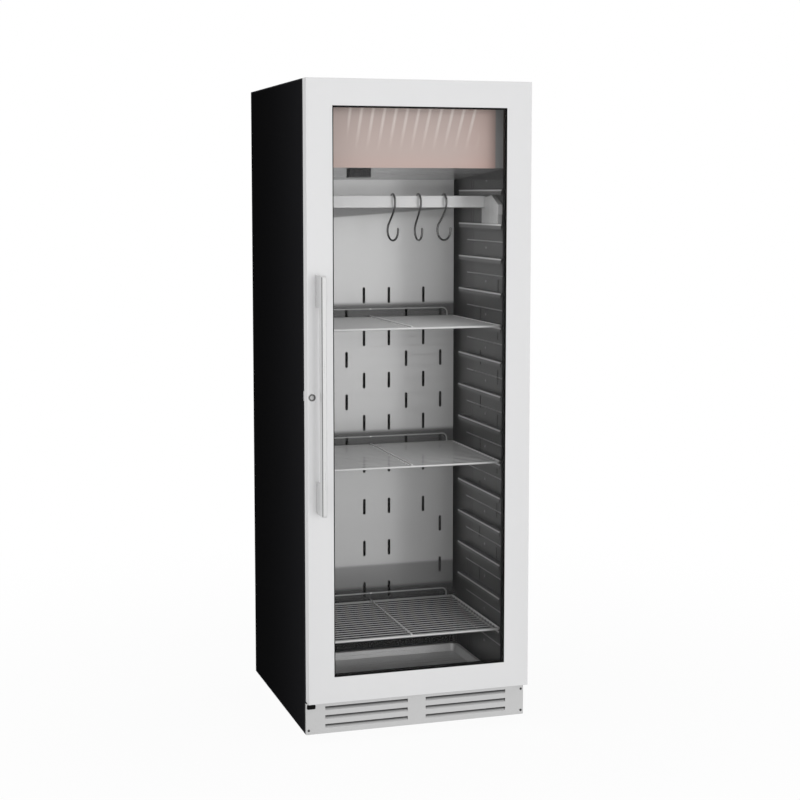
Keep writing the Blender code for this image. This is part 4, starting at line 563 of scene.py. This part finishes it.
def make_duct_panel(finish):
    """The rear panel with its punched slots, whose edges are eased."""
    low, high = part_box("duct_panel")
    outlines = [[(low.x, low.z), (high.x, low.z), (high.x, high.z), (low.x, high.z)]]
    for x, z in slot_places():
        ends = []
        for middle, first in ((z + slot_reach, 0), (z - slot_reach, 180)):
            for i in range(9):
                turn = math.radians(first + 22.5 * i)
                ends.append((x + slot_radius * math.cos(turn),
                             middle + slot_radius * math.sin(turn)))
        outlines.append(ends)
    sheet = bpy.data.curves.new("duct_sheet", "CURVE")
    sheet.dimensions = "2D"
    sheet.fill_mode = "BOTH"
    sheet.extrude = (high.y - low.y) / 2 - sheet_ease
    sheet.bevel_depth = sheet_ease
    sheet.offset = -sheet_ease
    for outline in outlines:
        spline = sheet.splines.new("POLY")
        spline.points.add(len(outline) - 1)
        for point, (x, z) in zip(spline.points, outline):
            point.co = (x, z, 0, 1)
        spline.use_cyclic_u = True
    flat = new_object("duct_sheet", sheet)
    mesh = plain_mesh(flat)
    bpy.data.objects.remove(flat)
    mesh.transform(Matrix.Translation((0, (low.y + high.y) / 2, 0))
                   @ Matrix.Rotation(math.pi / 2, 4, "X"))
    mesh.materials.clear()
    mesh.materials.append(finish)
    place_piece(new_object("duct_sheet_panel", mesh), "cabinet", "bright_steel", "duct_panel")


# Finishes

def grey(level):
    """A neutral colour."""
    return (level, level, level)


def shades(colour, dark, light):
    """A darker and a lighter shade of a colour."""
    return [c * dark for c in colour], [min(c * light, 1.0) for c in colour]


def brushed_steel(name, colour, roughness, along, metallic=1.0, contrast=0.06, depth=0.12):
    """Stainless steel with fine brush lines that run along one axis."""
    look = Look(name)
    broad = [60.0, 60.0, 60.0]
    broad["XYZ".index(along)] = 1.5
    lines = look.brush(along)
    cloud = look.noise(1.0, 2.0, 0.5, broad)
    shade = (lines - 0.5) * contrast * 2.5 + (cloud - 0.5) * contrast * 1.25
    return look.brushed(lines, look.mix(shade + 0.5, *shades(colour, 0.8, 1.2)), metallic,
                        (cloud - 0.5) * 0.08 + roughness, depth=depth)


def handle_look():
    """Brushed steel, with a painted shade line where the grip's side meets its front."""
    look = Look("handle_steel")
    x, y, _ = look.axes()
    low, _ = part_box("door_handle")
    lines = look.brush("Z")
    # Painted shade: a dark line where the grip's side meets its front
    painted_edge_tone = (1 - (x - low.x).step(0.0012, 0.0022)) * (1 - (y - low.y).step(0.0016, 0.003))
    steel = look.mix(lines, grey(0.69), grey(0.72))
    return look.brushed(lines, look.mix(painted_edge_tone, steel, grey(0.12)), 0.7, 0.3)


def kick_look():
    """Brushed steel with painted shade in its louvres, set back from the front face."""
    look = Look("kick_steel")
    _, y, _ = look.axes()
    lines = look.brush("X")
    # Painted shade in the louvres, set back from the front face
    louvre_shade = (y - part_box("kick_plate")[0].y).step(0.0004, 0.006)
    front = look.mix(lines, grey(0.56), grey(0.6))
    return look.brushed(lines, look.mix(louvre_shade, front, grey(0.1)), 0.45, 0.42)


def wall_look():
    """Bright brushed steel, with painted shade towards the floor and by the bar and the shelves."""
    look = Look("wall_steel")
    x, _, z = look.axes()
    lines = look.brush("X")
    # Painted shade: the steel's share has two quick rises near the floor and a slow one above
    bare = z.step(0.235, 0.262) * 0.4 + z.step(0.342, 0.354) * 0.43 + z.step(0.4, 1.0) * 0.17
    # Painted shade in a strip just above the rear of each shelf
    for name in shelves:
        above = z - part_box(name)[0].z
        shelf_shade = above.step(-0.006, 0.004) * (1 - above.step(0.034, 0.05))
        bare = bare * (1 - shelf_shade * 0.8)
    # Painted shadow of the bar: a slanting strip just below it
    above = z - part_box("hanging_bar")[0].z
    strip = (above - x * 0.07 + 0.022).step(-0.003, 0.003) * (1 - above.step(0.0, 0.008))
    bare = bare * (1 - strip * 0.6)
    steel = look.mix(lines, grey(0.68), grey(0.72))
    return look.brushed(lines, look.mix(bare, grey(0.03), steel), 0.2, 0.2,
                        spread=0.1, depth=0.02)


def liner_look():
    """Brushed steel painted dark as shade, and black as painted shade ahead of the racks."""
    look = Look("liner_steel")
    _, y, _ = look.axes()
    lines = look.brush("Z")
    # Painted shade: black ahead of the racks, dark steel further back
    inside = (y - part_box("rack_right")[0].y).step(-0.004, 0.0)
    steel = look.mix(lines, grey(0.07), grey(0.09))
    return look.brushed(lines, look.mix(inside, grey(0.004), steel), inside * 0.5, 0.34,
                        specular=0.15)


def rack_look():
    """Dark pressed steel: painted highlights along ledge edges, ribs, dimples; painted shade on
    rear folds.
    """
    look = Look("rack_steel")
    x, y, z = look.axes()
    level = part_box("shelf_bottom")[0].z
    ledge_pitch = (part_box("shelf_middle")[0].z - level) / 5
    below = (level - z).wrapped(ledge_pitch)
    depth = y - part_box("rack_right")[0].y
    ledge = 1 - x.size().step(0.2465, 0.2475)
    # Painted highlights along the ledge tops, on the ribs and on the dimples
    crest = (1 - x.size().step(0.2386, 0.2396)) * (1 - below.step(0.0035, 0.0055))
    rib = 1 - (below - 0.048).size().step(0.0008, 0.002)
    down, back = below - 0.066, depth - 0.157
    dimple = 1 - ((down * down + back * back) ** 0.5).step(0.0028, 0.0048)
    painted_highlight = 1 - (1 - crest) * (1 - rib * 0.55) * (1 - dimple * 0.5)
    # Painted shade in stripes for the folds of the rear
    fold_pitch = 0.019
    fold = (depth.wrapped(fold_pitch) / fold_pitch - 0.5).size().step(0.14, 0.3)
    lines = look.brush("Y")
    dark = look.mix(lines, grey(0.065), grey(0.105))
    dark = look.mix(depth.step(0.253, 0.256), dark, look.mix(fold, grey(0.018), grey(0.08)))
    # Painted light: the ledges lighter than the panel between them
    dark = look.mix(ledge * 0.7, dark, grey(0.15))
    return look.brushed(lines, look.mix(painted_highlight, dark, grey(0.66)), 0.3, 0.36, depth=0.1)


def shelf_look():
    """Bright plated wire: the frame rod and the middle rod carry painted highlights over the wires.
    """
    look = Look("shelf_wire")
    x, y, _ = look.axes()
    wave = look.noise(90.0, 2.0)
    # Painted highlights: the frame rod and the middle rod near white, the front a little darker
    rod_highlight = 1 - (1 - x.size().step(0.241, 0.243)) * x.size().step(0.0022, 0.003)
    front = 1 - y.step(-0.211, -0.2095)
    wires = look.mix(rod_highlight, look.mix(wave, grey(0.42), grey(0.48)), grey(0.95))
    return look.surface(colour=look.mix(front, wires, grey(0.7)), metallic=0.35,
                        roughness=wave * 0.08 + 0.34)


def painted_sheet(name, colour, roughness):
    """Satin paint, faint orange peel, painted highlight on the case's edges, painted sheen towards
    the front.
    """
    look = Look(name)
    place = look.axes()
    peel = look.noise(700.0, 2.0)
    soil = look.noise(6.0, 3.0)
    low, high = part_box("outer_case")
    near = [1 - ((b - a) / 2 - (at - (a + b) / 2).size()).step(0.001, 0.0045)
            for at, a, b in zip(place, low, high)]
    # Painted highlight along the edges of the case
    painted_edge_tone = (near[0] + near[1] + near[2] - 1).step(0.0, 1.0)
    # Painted sheen that grows towards the front of the case
    front = ((high.y - place[1]) / (high.y - low.y)) ** 2
    paint = look.mix(soil, *shades(colour, 0.35, 0.65))
    paint = look.mix(front, paint, [c * 3.2 for c in colour])
    return look.surface(colour=look.mix(painted_edge_tone, paint, [c * 9 for c in colour]),
                        roughness=(soil - 0.5) * 0.1 + roughness, ior=1.008,
                        normal=look.bump(peel, 0.15, relief))


def moulded_plastic(name, colour, roughness, shine=0.5):
    """Moulded plastic with a fine spark-eroded grain."""
    look = Look(name)
    grain = look.noise(1800.0, 2.0)
    flow = look.noise(18.0, 2.0)
    return look.surface(colour=look.mix(flow, *shades(colour, 0.9, 1.1)),
                        roughness=(grain - 0.5) * 0.2 + roughness, specular=shine,
                        normal=look.bump(grain, 0.25, relief))


def galvanised(name, colour):
    """Zinc-coated sheet with its spangle."""
    look = Look(name)
    cells = look.add("ShaderNodeTexVoronoi", {"feature": "F1"},
                     {"Vector": look.place, "Scale": 130.0}, output="Color")
    grain = look.add("ShaderNodeSeparateColor", inputs={0: cells})
    return look.surface(colour=look.mix(grain, *shades(colour, 0.85, 1.15)),
                        metallic=0.85, roughness=grain * 0.2 + 0.36)


def polished_chrome(name, colour, roughness):
    """Bright plating with a trace of waviness."""
    look = Look(name)
    wave = look.noise(90.0, 2.0)
    return look.surface(colour=look.mix(wave, *shades(colour, 0.92, 1.0)), metallic=1.0,
                        roughness=wave * 0.08 + roughness)


def clear_glass(name, reflection):
    """A clear pane that lets light straight through and mirrors more at a glancing angle."""
    look = Look(name)
    smear = look.noise(7.0, 3.0)
    rim = look.add("ShaderNodeFresnel", inputs={"IOR": 1.45})
    clear = look.add("ShaderNodeBsdfTransparent", inputs={"Color": (0.97, 0.97, 0.97, 1.0)})
    gloss = look.add("ShaderNodeBsdfGlossy", inputs={"Roughness": 0.02, "Color": (1, 1, 1, 1)})
    share = rim * reflection * (smear * 0.2 + 0.9)
    return look.finish(look.add("ShaderNodeMixShader", inputs={0: share, 1: clear, 2: gloss}))


def insulation(name):
    """Rigid foam with a fine cell, taped black where it meets the door opening."""
    look = Look(name)
    _, y, _ = look.axes()
    taped = 1 - (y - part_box("foam_insulation")[0].y).step(0.012, 0.014)
    cells = look.noise(900.0, 3.0)
    skin = look.noise(25.0, 3.0)
    bare = look.mix(skin, (0.62, 0.5, 0.26), (0.8, 0.68, 0.4))
    return look.surface(colour=look.mix(taped, bare, grey(0.01)), roughness=0.9,
                        normal=look.bump(cells, 0.5, 0.0006))


def soft_rubber(name):
    """Black rubber, matt with a faint bloom."""
    look = Look(name)
    bloom = look.noise(30.0, 4.0)
    fine = look.noise(1500.0, 2.0)
    return look.surface(colour=look.mix(bloom, grey(0.006), grey(0.016)), specular=0.15,
                        roughness=bloom * 0.15 + 0.6, normal=look.bump(fine, 0.2, relief))


def cover_look(colour):
    """Brushed steel tinted pink by painted lamp light, with painted streaks of the lamps above it.
    """
    look = Look("cover_steel")
    x, _, z = look.axes()
    lines = look.brush("X")
    low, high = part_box("housing_cover")
    fall = (high.z - z) / (high.z - low.z)
    # The painted streaks of light fan out: each leans a little more than the one to its left
    slant = (x + 0.21) * 0.06 + 0.026
    along = x - 0.0115 + fall * slant
    painted_streak = 1 - (along.wrapped(diode_pitch) / diode_pitch - 0.5).size().step(0.03, 0.2)
    lit = x.step(-0.175, -0.165) * (1 - x.step(0.176, 0.186)) * (1 - fall.step(0.15, 0.85))
    # Painted pink lamp light, stronger to the right and towards the bottom
    pink = (x.step(0.09, 0.22) * 0.6 + fall.step(0.75, 1.0) * 0.5) * 0.8
    body = look.mix((lines - 0.5) * 0.12 + 0.5, *shades(colour, 0.88, 1.12))
    body = look.mix(pink, body, (colour[0] * 1.06, colour[1] * 0.93, colour[2] * 0.9))
    return look.brushed(lines, look.mix(painted_streak * lit * 0.62, body, (0.9, 0.84, 0.8)), 0.12, 0.4,
                        depth=0.08)


def lamp_look():
    """The opal strip of the lamp bar, with a brighter spot over each diode."""
    look = Look("lamp_strip")
    x, _, _ = look.axes()
    spot = 1 - (x.wrapped(diode_pitch) / diode_pitch - 0.5).size().step(0.1, 0.35)
    return look.surface(colour=(0.9, 0.9, 0.88), roughness=0.4, glow_strength=1.2,
                        glow=look.mix(spot, (0.25, 0.25, 0.24), (1.0, 0.98, 0.94)))


# Settings and operators

class CabinetLooks(bpy.types.PropertyGroup):
    """The colours and the light that a user would change."""

    door: FloatVectorProperty(name="Door steel", description="Colour of the door's brushed steel",
                              subtype="COLOR", default=(0.75, 0.75, 0.755))
    case: FloatVectorProperty(name="Case paint", description="Colour of the case's paint",
                              subtype="COLOR", default=(0.004, 0.004, 0.0045))
    # The fan cover's colour holds painted pink lamp light
    cover: FloatVectorProperty(name="Fan cover", subtype="COLOR", default=(0.55, 0.445, 0.41),
                               description="Colour of the fan housing's front cover")
    lamp: FloatProperty(name="Studio light", description="Strength of the studio's lamps",
                        default=1.0, min=0.0, max=4.0)


class CabinetSizes(bpy.types.PropertyGroup):
    """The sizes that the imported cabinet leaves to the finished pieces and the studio."""

    wires: IntProperty(name="Shelf wires", description="Number of thin wires across a shelf",
                       default=18, min=2, max=60)
    floor: FloatProperty(name="Floor size", description="Width of the studio floor",
                         subtype="DISTANCE", default=60.0)


looks = {}


class CABINET_OT_finishes(bpy.types.Operator):
    """Mix the finishes that the pieces share"""

    bl_idname = "cabinet.finishes"
    bl_label = "Finishes"

    def execute(self, context):
        colours = context.scene.cabinet_looks
        looks.update(
            door=brushed_steel("door_steel", colours.door, 0.5, "Z", 0.35, 0.02),
            handle=handle_look(),
            kick=kick_look(),
            bar=brushed_steel("bar_steel", grey(0.46), 0.22, "X", 0.35, 0.02, 0.02),
            bracket=brushed_steel("bracket_steel", grey(0.42), 0.3, "Z", 0.2, 0.03, 0.03),
            wall=wall_look(),
            tray=brushed_steel("tray_steel", grey(0.58), 0.3, "X", 0.4, 0.03, 0.02),
            # Painted shade: the screw heads are near black for the shade of their recesses
            screw=moulded_plastic("screw_head", grey(0.03), 0.35),
            satin=brushed_steel("satin_steel", (0.40, 0.40, 0.405), 0.32, "Z"),
            liner=liner_look(),
            pan=brushed_steel("pan_steel", grey(0.7), 0.2, "X", 0.4, 0.05, 0.03),
            rack=rack_look(),
            paint=painted_sheet("black_paint", colours.case, 0.42),
            black=moulded_plastic("black_plastic", (0.014, 0.014, 0.015), 0.45),
            cap=moulded_plastic("cap_plastic", grey(0.003), 0.5, shine=0.08),
            grey=moulded_plastic("grey_plastic", (0.2, 0.2, 0.21), 0.45),
            zinc=galvanised("zinc_sheet", (0.45, 0.46, 0.47)),
            chrome=polished_chrome("hook_wire", grey(0.22), 0.14),
            shelf=shelf_look(),
            bright_chrome=polished_chrome("bright_chrome", grey(0.7), 0.12),
            copper=polished_chrome("copper_pipe", (0.62, 0.29, 0.16), 0.25),
            # Painted shade: evaporator and drain trough near black for the shade seen through the
            # duct slots
            fins=brushed_steel("fin_aluminium", (0.04, 0.04, 0.042), 0.45, "Z", 0.3),
            glass=clear_glass("door_glass", 0.1),
            foam=insulation("foam"),
            rubber=soft_rubber("rubber"))
        return {"FINISHED"}


class CABINET_OT_case(bpy.types.Operator):
    """Finish the case, its plinth, its base and the compressor bay"""

    bl_idname = "cabinet.case"
    bl_label = "Case"

    def execute(self, context):
        feet = [f"foot_{end}_{side}" for end in ("front", "rear") for side in ("left", "right")]
        dress(["outer_case", "compressor", "condenser"], looks["paint"])
        dress(["rear_panel", "base_pan", "rear_grille", "fan_motor", "lock_keeper", "hinge_lower",
               "hinge_upper", "condenser_fan_frame"], looks["zinc"])
        dress(["foam_insulation"], looks["foam"])
        dress(["hinge_hole_cap"], looks["cap"])
        dress(["hinge_bush_lower", "hinge_bush_upper", "condensate_tray", "power_inlet",
               "circulation_fan", "condenser_fan", "filter_cassette"] + feet, looks["black"])
        dress(["drain_pipe"], looks["grey"])
        dress(["discharge_pipe"], looks["copper"])
        # Both painted near black as the shade seen through the duct slots
        dress(["evaporator", "drain_trough"], looks["fins"])
        rounded("kick_plate", "cabinet", "kick_steel", looks["kick"], 0.0004)
        for name in ("kick_screw_left", "kick_screw_right_low", "kick_screw_right_high"):
            rounded(name, "cabinet", "zinc", looks["screw"], 0.0002)
        return {"FINISHED"}


class CABINET_OT_inside(bpy.types.Operator):
    """Finish the liner, the rear duct, the fan housing, the racks and what they carry"""

    bl_idname = "cabinet.inside"
    bl_label = "Inside"

    def execute(self, context):
        dress(["fan_bulkhead"], looks["satin"])
        dress(["housing_pan"], looks["pan"])
        dress(["inner_liner"], looks["liner"])
        dress(["rack_left", "rack_right"], looks["rack"])
        make_duct_panel(looks["wall"])
        rounded("hanging_bar", "cabinet", "bright_steel", looks["bar"], 0.0008)
        for name in ("bar_bracket_left", "bar_bracket_right"):
            rounded(name, "cabinet", "bright_steel", looks["bracket"], 0.0006)
        rounded("drip_tray", "drip_tray", "bright_steel", looks["tray"], 0.0008)
        dress(["housing_cover"], cover_look(context.scene.cabinet_looks.cover))
        dress(["led_bar"], lamp_look())
        tree = shelf_tree()
        for name in shelves:
            make_shelf(name, tree, context.scene.cabinet_sizes.wires, looks["shelf"])
        for name in hooks:
            make_hook(name, looks["chrome"])
        return {"FINISHED"}


class CABINET_OT_door(bpy.types.Operator):
    """Finish the door, its glass, its handle and its lock"""

    bl_idname = "cabinet.door"
    bl_label = "Door"

    def execute(self, context):
        rounded("door_frame", "door", "door_steel", looks["door"], 0.0007)
        dress(["door_core", "glass_spacer"], looks["cap"])
        dress(["outer_glass", "inner_glass"], looks["glass"])
        for name in ("outer_glass", "inner_glass"):
            nodes[name].visible_glossy = False
            nodes[name].visible_diffuse = False
            nodes[name].visible_shadow = False
        dress(["door_gasket"], looks["rubber"])
        rounded("door_handle", "door", "bright_steel", looks["handle"], 0.0006)
        dress(["lock_barrel"], looks["chrome"])
        dress(["lock_plug"], looks["bright_chrome"])
        return {"FINISHED"}


class CABINET_OT_stage(bpy.types.Operator):
    """Set the floor, the lamps, the world and the camera"""

    bl_idname = "cabinet.stage"
    bl_label = "Stage"

    def execute(self, context):
        scene = context.scene
        scene.view_settings.view_transform = "Standard"
        make_floor(scene.cabinet_sizes.floor)
        make_world(scene)
        make_lamps(scene.cabinet_looks.lamp)
        make_camera(scene)
        return {"FINISHED"}


def shown(tree):
    """1 for what the camera sees directly, mirrored or through glass, else 0."""
    path = tree.add("ShaderNodeLightPath").socket.node.outputs
    kinds = ("Is Camera Ray", "Is Glossy Ray", "Is Transmission Ray")
    camera, glossy, transmission = (Value(tree, path[kind]) for kind in kinds)
    return tree.add("ShaderNodeMath", {"operation": "MINIMUM"},
                    {0: camera + glossy + transmission, 1: 1.0})


def make_floor(width):
    """A plain white floor that keeps the cabinet's shadow, which fades out with distance."""
    half = width / 2
    mesh = bpy.data.meshes.new("floor")
    mesh.from_pydata([(-half, -half, 0), (half, -half, 0), (half, half, 0), (-half, half, 0)], [],
                     [(0, 1, 2, 3)])
    look = Look("floor_white")
    x, y, _ = look.axes()
    away = ((x * x + y * y) ** 0.5).step(0.4, 2.4)
    matt = look.add("ShaderNodeBsdfDiffuse", inputs={"Color": (0.82, 0.82, 0.82, 1.0)})
    white = look.add("ShaderNodeEmission", inputs={"Color": (1, 1, 1, 1), "Strength": 1.0})
    mesh.materials.append(look.finish(look.add("ShaderNodeMixShader", inputs={
        0: shown(look) * (away * 0.05 + 0.95), 1: matt, 2: white})))
    new_object("floor", mesh)


def make_world(scene):
    """A white studio: full white to the camera, metal and glass, and softer as light."""
    ambient = 0.6
    world = bpy.data.worlds.new("studio")
    world.use_nodes = True
    scene.world = world
    sky = Nodes(world.node_tree)
    sky.tree.nodes.clear()
    back = sky.add("ShaderNodeBackground", inputs={
        "Color": (1, 1, 1, 1), "Strength": shown(sky) * (1 - ambient) + ambient})
    out = sky.tree.nodes.new("ShaderNodeOutputWorld")
    sky.feed(out.inputs["Surface"], back)


def make_lamps(strength):
    """Large soft lamps in front of the cabinet, and the light of its own lamp bar."""
    cover_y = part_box("housing_cover")[0].y
    low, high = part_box("hanging_bar")
    inside = (0, cover_y - 0.03, (low.z + high.z) / 2)
    for name, place, aim, width, height, power in (
            ("key_lamp", (0.9, -7.4, 1.5), (0, 0, 0.7), 3.0, 3.0, 205.0),
            ("fill_lamp", (-3.6, -3.4, 1.2), (0, 0, 0.8), 1.6, 2.4, 20.0),
            ("cabinet_lamp", inside, (0, 0.25, 0.8), 0.42, 0.008, 0.42)):
        data = bpy.data.lights.new(name, "AREA")
        data.shape = "RECTANGLE"
        data.size, data.size_y = width, height
        data.energy = power * strength
        lamp = new_object(name, data)
        lamp.visible_glossy = False
        lamp.visible_camera = False
        lamp.location = place
        lamp.rotation_euler = (Vector(aim) - Vector(place)).to_track_quat("-Z", "Y").to_euler()


def make_camera(scene):
    """The camera of the photograph: to the left of the door, a little above its middle."""
    data = bpy.data.cameras.new("camera")
    data.lens = camera_lens
    data.sensor_width = 36.0
    data.shift_y = camera_shift
    data.clip_end = 200.0
    camera = new_object("camera", data)
    camera.location = camera_place
    camera.rotation_euler = (math.radians(90.0 - camera_down_degrees), 0,
                             math.radians(-camera_right_degrees))
    scene.camera = camera


class CABINET_PT_panel(bpy.types.Panel):
    """The cabinet's pieces, finishes and sizes"""

    bl_label = "Dry Aging Cabinet"
    bl_idname = "CABINET_PT_panel"
    bl_space_type = "VIEW_3D"
    bl_region_type = "UI"
    bl_category = "Cabinet"

    def draw(self, context):
        for group in (context.scene.cabinet_looks, context.scene.cabinet_sizes):
            for name in group.__annotations__:
                self.layout.prop(group, name)
        for operator in operators:
            self.layout.operator(operator.bl_idname)


operators = (CABINET_OT_finishes, CABINET_OT_case, CABINET_OT_inside, CABINET_OT_door,
             CABINET_OT_stage)
groups = (CabinetLooks, CabinetSizes)


def register():
    """Register the classes and hang the settings on the scene."""
    for item in groups + operators + (CABINET_PT_panel,):
        bpy.utils.register_class(item)
    bpy.types.Scene.cabinet_looks = PointerProperty(type=CabinetLooks)
    bpy.types.Scene.cabinet_sizes = PointerProperty(type=CabinetSizes)


def unregister():
    """Take the settings and the classes away again."""
    del bpy.types.Scene.cabinet_sizes
    del bpy.types.Scene.cabinet_looks
    for item in reversed(groups + operators + (CABINET_PT_panel,)):
        bpy.utils.unregister_class(item)


def main():
    """Make every piece."""
    register()
    for operator in operators:
        area, name = operator.bl_idname.split(".")
        getattr(getattr(bpy.ops, area), name)()


if __name__ == "__main__":
    main()
